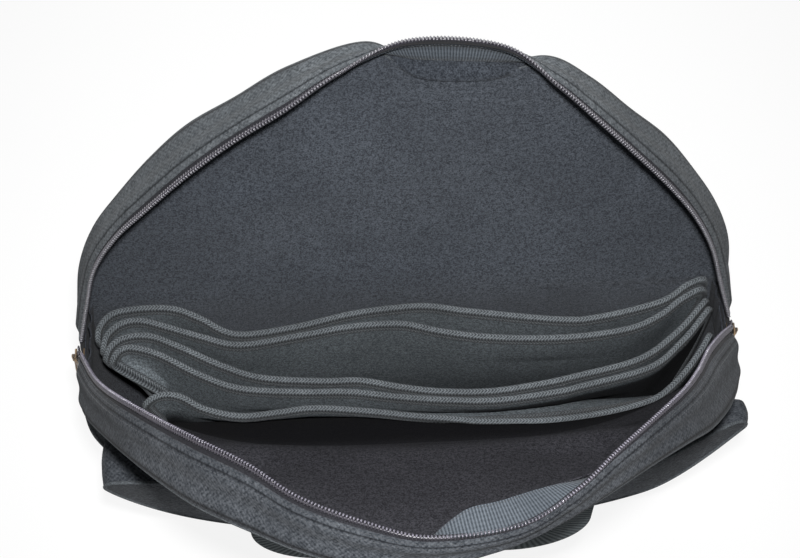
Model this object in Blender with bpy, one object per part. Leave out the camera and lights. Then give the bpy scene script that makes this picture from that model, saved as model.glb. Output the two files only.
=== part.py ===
"""A padded round cymbal bag for discs up to 22 inches, standing open.

The lower half is a closed half-round pocket. Above it a rear flap and a front flap, each a half disc
with its own half of the side wall, open about the bag's diameter. A two-way zip runs round their rims,
with a slider from each side. Five bound dividers stand in the pocket, and an accessory pocket with its
own zip lies over the lower front.

Metres, +Z up, the front towards -Y. The origin is the middle of the flat base.
"""

import math

import bmesh
import bpy
from mathutils import Matrix, Vector

# Driving dimensions
RADIUS = 0.2925
DEPTH = 0.110
BASE_LIFT = 0.014
FRONT_OPENING_DEG = 50
REAR_OPENING_DEG = 10
STEPS = 36
CORNER_STEPS = 5
SHARP_DEG = 40
OVERRUN = 0.010

# Cloth and padding
CLOTH = 0.0012
LINING = 0.0009
FOAM = 0.0048
SEAM_GAP = 0.0004
FOLD_GAP = 0.0004

# Piping along the corner of each panel and the side wall
PIPING_RADIUS = 0.0020
PIPING_SIDES = 6
PIPING_DROP = 0.0021
PIPING_INSET = 0.0009
WALL_EDGE = 0.0034
PANEL_EDGE = 0.0045
PIPING_END = 0.008

# Zip: tape, coil and the closed end below each side of the mouth
ZIP_CLOTH_EDGE = 0.0105
TAPE_INNER = 0.0022
TAPE_OUTER = 0.0200
TAPE = 0.0008
TAPE_DROP = 0.0015
COIL_INNER = 0.0008
COIL_OUTER = 0.0046
COIL_TOP = 0.0010
COIL_BOTTOM = 0.0012
ZIP_END_LENGTH = 0.030
ZIP_STOP = 0.005
SEAM_TAPE_INNER = 0.0085
SEAM_TAPE_WIDTH = 0.025
SEAM_TAPE_DROP = 0.0027

# Slider and pull, the same on every zip
SLIDER_LENGTH = 0.0150
SLIDER_WIDTH = 0.0130
SLIDER_TAIL_SHARE = 0.62
SLIDER_WAIST_SHARE = 0.67
SLIDER_NOSE_SHARE = 0.70
PLATE = 0.0014
PLATE_ABOVE = 0.0026
PLATE_BELOW = 0.0032
POST_WIDTH = 0.0009
POST_LENGTH = 0.0040
POST_AT = 0.0040
BRIDGE_LENGTH = 0.0096
BRIDGE_WIDTH = 0.0024
BRIDGE_BAR = 0.0012
BRIDGE_FOOT = 0.0017
BRIDGE_CHAMFER = 0.0006
EYE_HEIGHT = 0.0023
PULL_LENGTH = 0.0300
PULL_WIDTH = 0.0090
PULL_THICK = 0.0016
PULL_EYE_WIDTH = 0.0036
PULL_EYE_LENGTH = 0.0068
PULL_BAR = 0.0013
PULL_NECK_SHARE = 0.65
PULL_SHOULDER = 0.0041
PULL_TOE = 0.0036
PULL_TOE_SHARE = 0.55
PULL_GRIP_AT = 0.0057
PULL_GRIP_LENGTH = 0.0100
PULL_GRIP_WIDTH = 0.0030
SLIDER_REST_DEG = -3.0

# Fan-folded gore inside each end of the mouth
GORE_DROP = 0.0100
GORE_THICK = 0.0014
GORE_MIDDLE = 0.0020
GORE_CLEAR = 0.0006
GORE_DEG = 76
GORE_TAIL = 0.030

# Lining of the lower side wall, clear of the sliders' lower plates
WALL_LINING_DROP = 0.0056

# Dividers
DIVIDER_THICK = 0.0032
DIVIDER_SIDE_CLEAR = 0.0160
DIVIDER_TOP_DROP = 0.004
DIVIDER_FOOT = 0.0074
DIVIDER_CORNER = 0.014
DIVIDER_PLACE_SHARES = (0.6818, 0.4873, -0.3564, -0.5400, -0.7236)
BINDING = 0.0007
BINDING_GAP = 0.0003
BINDING_DEPTH = 0.0095
BINDING_TAIL = 0.062

# Accessory pocket over the lower front
POCKET_DEPTH = 0.048
POCKET_FOOT_DEPTH = 0.014
POCKET_TOP_DROP = 0.066
POCKET_INSET = 0.009
POCKET_FLOOR = 0.012
POCKET_CORNER = 0.016
POCKET_ZIP_AT = 0.030
POCKET_ZIP_INSET = 0.0196
POCKET_ZIP_CLOTH_EDGE = 0.0062
POCKET_TAPE_OUTER = 0.0120
POCKET_SLIDER_INSET = 0.020

# Webbing handles
WEBBING_WIDTH = 0.038
WEBBING_THICK = 0.0022
HANDLE_HALF = 0.125
HANDLE_HEIGHT = 0.165
HANDLE_DROP = 0.130
HANDLE_CORNER = 0.060
ANCHOR_LENGTH = 0.060
HANDLE_GAP = 0.0006
HANDLE_STEPS = 8
HANDLE_FOLD_DEG = 75

CENTRE_HEIGHT = RADIUS - BASE_LIFT
HALF_DEPTH = DEPTH / 2
WALL_THICK = CLOTH + FOAM + LINING + 2 * SEAM_GAP


def material(name, colour, roughness, metallic=0.0):
    made = bpy.data.materials.new(name)
    made.use_nodes = True
    shader = made.node_tree.nodes["Principled BSDF"]
    shader.inputs["Base Color"].default_value = (*colour, 1.0)
    shader.inputs["Roughness"].default_value = roughness
    shader.inputs["Metallic"].default_value = metallic
    return made


def palette():
    return {
        "cloth": material("woven_polyester", (0.050, 0.060, 0.068), 0.85),
        "foam": material("closed_cell_foam", (0.10, 0.10, 0.11), 0.95),
        "lining": material("brushed_lining", (0.030, 0.034, 0.042), 0.92),
        "binding": material("herringbone_binding", (0.085, 0.098, 0.110), 0.80),
        "grosgrain": material("grosgrain_tape", (0.105, 0.125, 0.140), 0.75),
        "piping": material("piping_cord", (0.040, 0.046, 0.052), 0.80),
        "tape": material("zip_tape", (0.015, 0.015, 0.017), 0.85),
        "coil": material("nylon_coil", (0.020, 0.018, 0.024), 0.30),
        "metal": material("blackened_metal", (0.060, 0.055, 0.052), 0.35, 0.9),
        "webbing": material("nylon_webbing", (0.055, 0.066, 0.073), 0.70),
    }


def joint_frame(name, location, turn_deg=0.0, axis="X", parent=None):
    """An empty on a joint's axis; its children are modelled about it."""
    frame = bpy.data.objects.new(name, None)
    bpy.context.scene.collection.objects.link(frame)
    frame.location = location
    frame.rotation_euler = Matrix.Rotation(math.radians(turn_deg), 3, axis).to_euler()
    frame.parent = parent
    return frame


def add_mesh(name, mesh, finish, parent=None, smooth=True):
    mesh.name = name
    obj = bpy.data.objects.new(name, mesh)
    bpy.context.scene.collection.objects.link(obj)
    obj.parent = parent
    mesh.materials.append(finish)
    if smooth:
        mesh.shade_smooth()
        mesh.set_sharp_from_angle(angle=math.radians(SHARP_DEG))
    return obj


def swept_mesh(rings, closed=False):
    """A solid through rings of points that all have the same count; open sweeps get end faces."""
    bm = bmesh.new()
    rows = [[bm.verts.new(point) for point in ring] for ring in rings]
    count = len(rows[0])
    last = len(rows) if closed else len(rows) - 1
    for i in range(last):
        here, there = rows[i], rows[(i + 1) % len(rows)]
        for k in range(count):
            after = (k + 1) % count
            bm.faces.new((here[k], here[after], there[after], there[k]))
    if not closed:
        bm.faces.new(rows[0])
        bm.faces.new(reversed(rows[-1]))
    return finished_mesh(bm)


def finished_mesh(bm):
    bmesh.ops.recalc_face_normals(bm, faces=bm.faces)
    mesh = bpy.data.meshes.new("solid")
    bm.to_mesh(mesh)
    bm.free()
    return mesh


def standing(across, up, level):
    """A plate that stands across the bag's depth."""
    return Vector((across, level, up))


def lying(across, along, level):
    return Vector((across, along, level))


def plate_mesh(outline, start, end, holes=(), place=standing):
    """A flat outline, with holes, made solid between two levels. place turns its values into points."""
    bm = bmesh.new()
    edges = []
    for loop in (outline, *holes):
        verts = [bm.verts.new(place(a, b, start)) for a, b in loop]
        edges += [bm.edges.new((verts[i - 1], verts[i])) for i in range(len(verts))]
    bmesh.ops.triangle_fill(bm, edges=edges, use_beauty=True)
    lift = place(0, 0, end) - place(0, 0, start)
    raised = bmesh.ops.extrude_face_region(bm, geom=bm.faces[:])
    moved = [item for item in raised["geom"] if isinstance(item, bmesh.types.BMVert)]
    bmesh.ops.translate(bm, verts=moved, vec=lift)
    return finished_mesh(bm)


def arc_points(radius, start_deg, end_deg, steps, centre=(0.0, 0.0)):
    points = []
    for i in range(steps + 1):
        angle = math.radians(start_deg + (end_deg - start_deg) * i / steps)
        points.append((centre[0] + radius * math.cos(angle), centre[1] + radius * math.sin(angle)))
    return points


def end_angle(radius, rise):
    """The angle at which a circle of this radius has risen this far above its diameter."""
    return math.degrees(math.asin(rise / radius))


def upper_arc(radius, rise=FOLD_GAP):
    """A flap's round edge about the fold, from right to left, starting just above the diameter."""
    start = end_angle(radius, rise)
    return arc_points(radius, start, 180 - start, STEPS)


def lower_arc(radius, floor, drop=FOLD_GAP):
    """The pocket's round edge from right to left, flattened at the floor height above the base."""
    start = end_angle(radius, drop)
    fall = CENTRE_HEIGHT - floor
    foot = math.degrees(math.acos(min(1.0, fall / radius)))
    side_steps = STEPS // 2 - 1
    right = arc_points(radius, -start, -90 + foot, side_steps)
    left = arc_points(radius, -90 - foot, -180 + start, side_steps)
    return right + left


def half_plate(name, outline, start, end, finish, parent):
    return add_mesh(name, plate_mesh(outline, start, end), finish, parent)


def wall_band(name, outer, inner, start, end, finish, parent):
    """The strip between two round edges, running across the bag's depth."""
    rings = []
    for (xo, zo), (xi, zi) in zip(outer, inner):
        rings.append([(xo, start, zo), (xo, end, zo), (xi, end, zi), (xi, start, zi)])
    return add_mesh(name, swept_mesh(rings), finish, parent)


def bead(name, path, level, radius, finish, parent):
    """A round cord along an outline at one level."""
    rings = []
    for i, (x, z) in enumerate(path):
        before = path[max(i - 1, 0)]
        after = path[min(i + 1, len(path) - 1)]
        along = Vector((after[0] - before[0], after[1] - before[1])).normalized()
        out = (along.y, -along.x)
        ring = []
        for k in range(PIPING_SIDES):
            angle = math.tau * (k + 0.5) / PIPING_SIDES
            reach = radius * math.cos(angle)
            ring.append((x + out[0] * reach, level + radius * math.sin(angle), z + out[1] * reach))
        rings.append(ring)
    return add_mesh(name, swept_mesh(rings), finish, parent)


def combine(base, others, operation):
    """Joins the others into base, or cuts them away, with exact booleans that are applied at once."""
    for other in others:
        step = base.modifiers.new(operation.lower(), "BOOLEAN")
        step.operation = operation
        step.solver = "EXACT"
        step.object = other
    bpy.context.view_layer.update()
    graph = bpy.context.evaluated_depsgraph_get()
    result = bpy.data.meshes.new_from_object(base.evaluated_get(graph))
    base.modifiers.clear()
    base.data = result
    for other in others:
        bpy.data.objects.remove(other)
    return base


# Lower pocket


def panel_layers(side, which, finishes, outline_of, parent):
    """The cloth, foam and lining of a panel, from its face inwards. side is -1 in front."""
    face = side * HALF_DEPTH if parent is None else 0.0
    inwards = -side
    foam_start = CLOTH + SEAM_GAP
    lining_start = foam_start + FOAM + SEAM_GAP
    for layer, finish, start, thick in (
        ("panel", "cloth", 0.0, CLOTH),
        ("foam", "foam", foam_start, FOAM),
        ("lining", "lining", lining_start, LINING),
    ):
        levels = sorted((face + inwards * start, face + inwards * (start + thick)))
        half_plate(f"{which}_{layer}", outline_of(), *levels, finishes[finish], parent)


def lifted(points):
    return [(x, z + CENTRE_HEIGHT) for x, z in points]


def lower_outline(inset):
    return lifted(lower_arc(RADIUS - inset, inset))


def box_cutter(x_range, y_range, z_range):
    outline = [(x_range[i], z_range[k]) for i, k in ((0, 0), (1, 0), (1, 1), (0, 1))]
    cutter = add_mesh("cutter", plate_mesh(outline, *y_range), bpy.data.materials[0], smooth=False)
    cutter.hide_render = True
    cutter.display_type = "WIRE"
    return cutter


def lower_wall(finishes):
    edge = HALF_DEPTH - WALL_EDGE
    outer, inner = lower_outline(0.0), lower_outline(CLOTH)
    wall = wall_band("lower_wall", outer, inner, -edge, edge, finishes["cloth"], None)
    slots = []
    for side in (-1, 1):
        across = sorted((side * (RADIUS - OVERRUN), side * (RADIUS + OVERRUN)))
        heights = (CENTRE_HEIGHT - ZIP_END_LENGTH, CENTRE_HEIGHT + OVERRUN)
        slots.append(box_cutter(across, (-ZIP_CLOTH_EDGE, ZIP_CLOTH_EDGE), heights))
    combine(wall, slots, "DIFFERENCE")
    edge = HALF_DEPTH - WALL_THICK - SEAM_GAP
    outer, inner = lower_outline(WALL_LINING_DROP), lower_outline(WALL_LINING_DROP + LINING)
    wall_band("lower_wall_lining", outer, inner, -edge, edge, finishes["lining"], None)


def lower_piping(which, side, finishes):
    path = lifted(lower_arc(RADIUS - PIPING_DROP, PIPING_DROP, PIPING_END))
    level = side * (HALF_DEPTH - PIPING_INSET)
    bead(f"{which}_lower_piping", path, level, PIPING_RADIUS, finishes["piping"], None)


def forked_strip(side, depths, half_width, slot_half_width, reach):
    """A strip bent round the rim below the mouth, slit from its top down to the zip's bottom stop."""
    top, bottom = reach
    stop = ZIP_END_LENGTH - ZIP_STOP
    middle = (top + stop) / 2
    half = [(slot_half_width, stop), (slot_half_width, middle), (slot_half_width, top)]
    half += [(half_width, top), (half_width, middle), (half_width, stop), (half_width, bottom)]
    outline = half + [(-y, down) for y, down in reversed(half)]

    def bent(y, down, depth):
        angle = down / RADIUS
        reach_out = (RADIUS + depth) * math.cos(angle)
        return Vector((side * reach_out, y, CENTRE_HEIGHT - (RADIUS + depth) * math.sin(angle)))

    return plate_mesh(outline, *depths, place=bent)


def zip_end(name, side, finishes):
    """The closed end of the zip below the mouth: two tapes and two coils, joined at the bottom stop."""
    tape_reach = (FOLD_GAP, ZIP_END_LENGTH - FOLD_GAP)
    coil_reach = (2 * FOLD_GAP, ZIP_END_LENGTH - 2 * FOLD_GAP)
    tape = forked_strip(side, (-TAPE_DROP - TAPE, -TAPE_DROP), TAPE_OUTER, TAPE_INNER, tape_reach)
    coil = forked_strip(side, (-TAPE_DROP - TAPE / 2, COIL_TOP), COIL_OUTER, COIL_INNER, coil_reach)
    body = add_mesh(name, tape, finishes["tape"])
    combine(body, [add_mesh(f"{name}_coil", coil, finishes["tape"])], "UNION")


def gore(name, side, finishes):
    """The cloth that fans out between a flap's end and the pocket: two sectors about the folds."""
    inset = WALL_THICK + GORE_CLEAR
    near = -HALF_DEPTH + inset
    waist = inset * math.tan(math.radians(GORE_DEG))
    half = [(near, CENTRE_HEIGHT - GORE_TAIL), (near, CENTRE_HEIGHT + waist)]
    reach = HALF_DEPTH - GORE_MIDDLE
    half += arc_points(reach, GORE_DEG, 0, CORNER_STEPS, (-HALF_DEPTH, CENTRE_HEIGHT))
    outline = half + [(-y, z) for y, z in reversed(half)]
    face = side * (RADIUS - GORE_DROP)

    def sideways(y, z, x):
        return Vector((x, y, z))

    mesh = plate_mesh(outline, face - side * GORE_THICK, face, place=sideways)
    add_mesh(name, mesh, finishes["lining"])


# Flaps


def flap(which, side, frame, finishes):
    """A half disc with its half of the side wall, zip and seam tape, about the fold at its outer face."""
    inwards = -side
    panel_layers(side, f"{which}_flap", finishes, lambda: upper_arc(RADIUS - PANEL_EDGE), frame)

    def band(part, drop, thick, near, far, finish):
        """near and far are distances from the bag's middle plane, where the zip closes."""
        levels = sorted((inwards * (HALF_DEPTH - far), inwards * (HALF_DEPTH - near)))
        outer, inner = upper_arc(RADIUS - drop), upper_arc(RADIUS - drop - thick)
        wall_band(f"{which}_{part}", outer, inner, *levels, finishes[finish], frame)

    edge = HALF_DEPTH - WALL_EDGE
    lining_edge = HALF_DEPTH - WALL_THICK - SEAM_GAP
    band("flap_wall", 0.0, CLOTH, ZIP_CLOTH_EDGE, edge, "cloth")
    band("flap_wall_lining", CLOTH + SEAM_GAP, LINING, TAPE_OUTER + SEAM_GAP, lining_edge, "lining")
    band("zip_tape", TAPE_DROP, TAPE, TAPE_INNER, TAPE_OUTER, "tape")
    band("zip_coil", -COIL_TOP, COIL_TOP + COIL_BOTTOM, COIL_INNER, COIL_OUTER, "coil")
    tape_far = SEAM_TAPE_INNER + SEAM_TAPE_WIDTH
    band("seam_tape", SEAM_TAPE_DROP, TAPE, SEAM_TAPE_INNER, tape_far, "grosgrain")
    path = upper_arc(RADIUS - PIPING_DROP, PIPING_END)
    bead(f"{which}_flap_piping", path, inwards * PIPING_INSET, PIPING_RADIUS, finishes["piping"], frame)


# Handles


def handle_stations():
    """Half of a hanging loop as (across, down, half thickness), from a leg's folded end to the middle."""
    thick = WEBBING_THICK / 2
    stations = []
    for angle in (HANDLE_FOLD_DEG, HANDLE_FOLD_DEG / 2, 0.0):
        turn = math.radians(angle)
        stations.append((HANDLE_HALF, -thick * math.sin(turn), thick * math.cos(turn)))
    straight = HANDLE_DROP - HANDLE_CORNER
    bend = arc_points(HANDLE_CORNER, 0, 90, HANDLE_STEPS, (HANDLE_HALF - HANDLE_CORNER, straight))
    return stations + [(x, down, thick) for x, down in bend]


def handle(which, side, flap_frame, lean_deg, finishes):
    """A loop that hangs from two anchors sewn to the flap's face. It swings about the anchors' lower ends."""
    half = WEBBING_WIDTH / 2
    low, high = HANDLE_HEIGHT + SEAM_GAP, HANDLE_HEIGHT + SEAM_GAP + ANCHOR_LENGTH
    anchor_face = HANDLE_GAP + WEBBING_THICK
    levels = sorted((side * HANDLE_GAP, side * anchor_face))
    for name, x in (("left", -HANDLE_HALF), ("right", HANDLE_HALF)):
        outline = [(x - half, low), (x + half, low), (x + half, high), (x - half, high)]
        half_plate(f"{which}_anchor_{name}", outline, *levels, finishes["webbing"], flap_frame)
    pivot = (0, side * (anchor_face + SEAM_GAP + WEBBING_THICK / 2), HANDLE_HEIGHT)
    frame = joint_frame(f"{which}_handle_axis", pivot, -lean_deg, "X", flap_frame)
    path = handle_stations()
    path += [(-x, down, thick) for x, down, thick in reversed(path)]
    rings = []
    for i, (x, down, thick) in enumerate(path):
        before, after = path[max(i - 1, 0)], path[min(i + 1, len(path) - 1)]
        along = Vector((after[0] - before[0], after[1] - before[1])).normalized()
        across, rise = along.y * half, along.x * half
        outer, inner = (x + across, rise - down), (x - across, -rise - down)
        corners = ((outer, -thick), (outer, thick), (inner, thick), (inner, -thick))
        rings.append([(point[0], level, point[1]) for point, level in corners])
    add_mesh(f"{which}_handle", swept_mesh(rings), finishes["webbing"], frame)


# Dividers


def divider_outline(inset=0.0):
    """The divider's edge from the right foot round the top to the left foot, about its foot line."""
    radius = RADIUS - DIVIDER_SIDE_CLEAR - inset
    top = CENTRE_HEIGHT - DIVIDER_TOP_DROP - inset
    foot_angle = -90 + math.degrees(math.acos((CENTRE_HEIGHT - DIVIDER_FOOT) / radius))
    corner = DIVIDER_CORNER - inset
    corner_height = top - corner
    corner_x = math.sqrt((radius - corner) ** 2 - (corner_height - CENTRE_HEIGHT) ** 2)
    meet_deg = math.degrees(math.atan2(corner_height - CENTRE_HEIGHT, corner_x))
    side = arc_points(radius, foot_angle, meet_deg, STEPS // 2, (0.0, CENTRE_HEIGHT))
    turn = arc_points(corner, meet_deg, 90, CORNER_STEPS, (corner_x, corner_height))[1:]
    half = side + turn
    whole = half + [(-x, z) for x, z in reversed(half)]
    return [(x, z - DIVIDER_FOOT) for x, z in whole]


def binding_rings():
    """A tape folded over the divider's top edge and the upper part of both sides."""
    lowest = CENTRE_HEIGHT - DIVIDER_TOP_DROP - BINDING_TAIL - DIVIDER_FOOT
    path = [point for point in divider_outline() if point[1] > lowest]
    fold = BINDING_GAP + BINDING
    inner = DIVIDER_THICK / 2 + BINDING_GAP
    outer = inner + BINDING
    section = (
        (-BINDING_DEPTH, -outer),
        (fold, -outer),
        (fold, outer),
        (-BINDING_DEPTH, outer),
        (-BINDING_DEPTH, inner),
        (BINDING_GAP, inner),
        (BINDING_GAP, -inner),
        (-BINDING_DEPTH, -inner),
    )
    rings = []
    for i, (x, z) in enumerate(path):
        before, after = path[max(i - 1, 0)], path[min(i + 1, len(path) - 1)]
        along = Vector((after[0] - before[0], after[1] - before[1])).normalized()
        rings.append([(x + along.y * reach, level, z - along.x * reach) for reach, level in section])
    return rings


def divider(number, place, finishes):
    frame = joint_frame(f"divider_{number}_axis", (0, place, DIVIDER_FOOT))
    half = DIVIDER_THICK / 2
    half_plate(f"divider_{number}", divider_outline(), -half, half, finishes["lining"], frame)
    add_mesh(f"divider_{number}_binding", swept_mesh(binding_rings()), finishes["binding"], frame)


# Accessory pocket


def pocket_corner_centre():
    """How far across and how high the centres of the pocket's two upper corners are."""
    reach = RADIUS - POCKET_INSET - POCKET_CORNER
    drop = POCKET_TOP_DROP + POCKET_CORNER
    return math.sqrt(reach**2 - drop**2), CENTRE_HEIGHT - drop


def pocket_zip_half():
    return pocket_corner_centre()[0] - POCKET_ZIP_INSET


def pocket_outline(inset=0.0):
    """The pocket's closed edge on the front panel, clockwise from the right end of its straight top."""
    radius = RADIUS - POCKET_INSET - inset
    corner = POCKET_CORNER - inset
    corner_x, corner_height = pocket_corner_centre()
    meet_deg = math.degrees(math.atan2(corner_height - CENTRE_HEIGHT, corner_x))
    foot = math.degrees(math.acos((CENTRE_HEIGHT - POCKET_FLOOR - inset) / radius))
    turn = arc_points(corner, 90, meet_deg, CORNER_STEPS, (corner_x, corner_height))
    side = arc_points(radius, meet_deg, -90 + foot, STEPS // 2, (0.0, CENTRE_HEIGHT))[1:]
    half = turn + side
    return half + [(-x, z) for x, z in reversed(half)]


def pocket_face(up):
    """How far forward the pocket's face stands at a height; it tapers from its zip down to its foot."""
    top = CENTRE_HEIGHT - POCKET_TOP_DROP
    share = (up - POCKET_FLOOR) / (top - POCKET_FLOOR)
    return -HALF_DEPTH - POCKET_FOOT_DEPTH - (POCKET_DEPTH - POCKET_FOOT_DEPTH) * share


def tapered(across, up, level):
    """A plate that follows the pocket's face."""
    return Vector((across, pocket_face(up) + level, up))


def slotted_ring(half_length, half_width, slot_half_length, slot_half_width, centre, heights):
    """A flat strip along X with a long slot down its middle."""

    def corners(length, width):
        near, far = centre - width, centre + width
        return [(length, near), (length, far), (-length, far), (-length, near)]

    slot = corners(slot_half_length, slot_half_width)
    return plate_mesh(corners(half_length, half_width), *heights, holes=(slot,), place=lying)


def pocket(finishes):
    back = -HALF_DEPTH - SEAM_GAP
    add_mesh("pocket_panel", plate_mesh(pocket_outline(), 0.0, CLOTH, place=tapered), finishes["cloth"])
    outer, inner = pocket_outline(), pocket_outline(CLOTH)
    start = CLOTH + SEAM_GAP
    rings = []
    for (xo, zo), (xi, zi) in zip(outer, inner):
        rings.append([tapered(xo, zo, start), (xo, back, zo), (xi, back, zi), tapered(xi, zi, start)])
    wall = add_mesh("pocket_wall", swept_mesh(rings, closed=True), finishes["cloth"])
    top = CENTRE_HEIGHT - POCKET_TOP_DROP
    middle = -HALF_DEPTH - POCKET_ZIP_AT
    slot = box_cutter(
        (-pocket_zip_half(), pocket_zip_half()),
        (middle - POCKET_ZIP_CLOTH_EDGE, middle + POCKET_ZIP_CLOTH_EDGE),
        (top - OVERRUN, top + OVERRUN),
    )
    combine(wall, [slot], "DIFFERENCE")
    tape_half = pocket_zip_half() + ZIP_STOP
    slot_half = pocket_zip_half() - ZIP_STOP
    tape_top = top - TAPE_DROP
    tape_levels = (tape_top - TAPE, tape_top)
    tape = slotted_ring(tape_half, POCKET_TAPE_OUTER, slot_half, TAPE_INNER, middle, tape_levels)
    add_mesh("pocket_zip_tape", tape, finishes["tape"], smooth=False)
    coil_half = pocket_zip_half() - SEAM_GAP
    coil_levels = (top - COIL_BOTTOM, top + COIL_TOP)
    coil = slotted_ring(coil_half, COIL_OUTER, slot_half, COIL_INNER, middle, coil_levels)
    add_mesh("pocket_zip_coil", coil, finishes["coil"], smooth=False)


# Sliders. Each is modelled about the zip's surface: u along the travel, v across the zip, w outwards.


def shield_outline(length, width):
    """A slider's plate: a broad nose where the two coils enter, drawn in to the tail."""
    half, nose = length / 2, width / 2
    tail = nose * SLIDER_TAIL_SHARE
    shoulder = half * SLIDER_TAIL_SHARE
    right = [
        (-half, tail / 2),
        (-shoulder, tail),
        (0.0, nose * SLIDER_WAIST_SHARE),
        (shoulder, nose),
        (half, nose * SLIDER_NOSE_SHARE),
    ]
    return right + [(u, -v) for u, v in reversed(right)]


def slider_box(name, u_range, v_range, w_range, finish, frame):
    outline = [(u_range[i], v_range[k]) for i, k in ((0, 0), (1, 0), (1, 1), (0, 1))]
    return add_mesh(name, plate_mesh(outline, *w_range, place=lying), finish, frame, smooth=False)


def slider(name, frame, finish):
    """Two shield plates joined by the post that parts the coils, with the bridge that holds the pull."""
    above, below = PLATE_ABOVE, -PLATE_BELOW
    shield = shield_outline(SLIDER_LENGTH, SLIDER_WIDTH)
    body = add_mesh(name, plate_mesh(shield, above, above + PLATE, place=lying), finish, frame)
    bite = PLATE / 2
    post = (POST_AT - POST_LENGTH / 2, POST_AT + POST_LENGTH / 2)
    post_sides = (-POST_WIDTH / 2, POST_WIDTH / 2)
    half_bridge = BRIDGE_LENGTH / 2
    foot = (-half_bridge, BRIDGE_FOOT - half_bridge)
    heel = (half_bridge - BRIDGE_FOOT, half_bridge)
    roof = above + PLATE + EYE_HEIGHT
    bridge_sides = (-BRIDGE_WIDTH / 2, BRIDGE_WIDTH / 2)
    leg_heights = (above + bite, roof + BRIDGE_BAR / 2)
    bar = (BRIDGE_CHAMFER - half_bridge, half_bridge - BRIDGE_CHAMFER)
    parts = [
        add_mesh(f"{name}_under", plate_mesh(shield, below - PLATE, below, place=lying), finish, frame),
        slider_box(f"{name}_post", post, post_sides, (below - bite, above + bite), finish, frame),
        slider_box(f"{name}_foot", foot, bridge_sides, leg_heights, finish, frame),
        slider_box(f"{name}_heel", heel, bridge_sides, leg_heights, finish, frame),
        slider_box(f"{name}_bar", bar, bridge_sides, (roof, roof + BRIDGE_BAR), finish, frame),
    ]
    return combine(body, parts, "UNION")


def slot_outline(start, length, width):
    half, end = width / 2, start - length
    return [(start, -half), (start, half), (end, half), (end, -half)]


def pull(name, frame, finish):
    """A flat tab that hangs from the slider's bridge by its eye, with a second slot as a grip."""
    half, top = PULL_WIDTH / 2, PULL_BAR / 2
    neck = -PULL_EYE_LENGTH - PULL_BAR
    side = [
        (top, half * PULL_NECK_SHARE),
        (neck, half * PULL_NECK_SHARE),
        (neck - PULL_SHOULDER, half),
        (PULL_TOE - PULL_LENGTH, half),
        (-PULL_LENGTH, half * PULL_TOE_SHARE),
    ]
    outline = side + [(u, -v) for u, v in reversed(side)]
    eye = slot_outline(-PULL_BAR / 2, PULL_EYE_LENGTH, PULL_EYE_WIDTH)
    grip = slot_outline(neck - PULL_GRIP_AT, PULL_GRIP_LENGTH, PULL_GRIP_WIDTH)
    mesh = plate_mesh(outline, -PULL_THICK / 2, PULL_THICK / 2, (eye, grip), lying)
    return add_mesh(name, mesh, finish, frame)


def pull_height():
    """How far the pull's axis stands above the zip's surface, in the middle of the slider's eye."""
    return PLATE_ABOVE + PLATE + EYE_HEIGHT / 2


def rim_slider(which, side, finishes):
    """A slider of the main zip at rest below the mouth. Its travel is a turn about the middle of the bag."""
    axis = joint_frame(f"{which}_slider_axis", (0, 0, CENTRE_HEIGHT), -side * SLIDER_REST_DEG, "Y")
    seat = joint_frame(f"{which}_slider_seat", (side * RADIUS, 0, 0), parent=axis)
    up, out = Vector((0, 0, 1)), Vector((side, 0, 0))
    across = out.cross(up)
    seat.rotation_euler = Matrix((up, across, out)).transposed().to_euler()
    slider(f"{which}_slider", seat, finishes["metal"])
    tab = joint_frame(f"{which}_pull_axis", (0, 0, pull_height()), -SLIDER_REST_DEG, "Y", seat)
    pull(f"{which}_pull", tab, finishes["metal"])


def pocket_slider(finishes):
    top = CENTRE_HEIGHT - POCKET_TOP_DROP
    across = pocket_zip_half() - POCKET_SLIDER_INSET
    seat = joint_frame("pocket_slider_seat", (across, -HALF_DEPTH - POCKET_ZIP_AT, top))
    slider("pocket_slider", seat, finishes["metal"])
    tab = joint_frame("pocket_pull_axis", (0, 0, pull_height()), parent=seat)
    pull("pocket_pull", tab, finishes["metal"])


def build():
    for obj in list(bpy.data.objects):
        bpy.data.objects.remove(obj)
    finishes = palette()
    lower_wall(finishes)
    openings = {"rear": (1, -REAR_OPENING_DEG), "front": (-1, FRONT_OPENING_DEG)}
    for which, (side, opening) in openings.items():
        panel_layers(side, f"{which}_lower", finishes, lambda: lower_outline(PANEL_EDGE), None)
        lower_piping(which, side, finishes)
        fold = joint_frame(f"{which}_fold", (0, side * HALF_DEPTH, CENTRE_HEIGHT), opening)
        flap(which, side, fold, finishes)
        handle(which, side, fold, opening, finishes)
    for which, side in (("left", -1), ("right", 1)):
        zip_end(f"{which}_zip_end", side, finishes)
        gore(f"{which}_gore", side, finishes)
        rim_slider(which, side, finishes)
    for number, share in enumerate(DIVIDER_PLACE_SHARES, 1):
        divider(number, share * HALF_DEPTH, finishes)
    pocket(finishes)
    pocket_slider(finishes)


build()
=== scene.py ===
"""Cymbal bag standing open: cloth, zips, dividers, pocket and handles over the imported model."""

import math

import bmesh
import bpy
import numpy as np
from mathutils import Matrix

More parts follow.
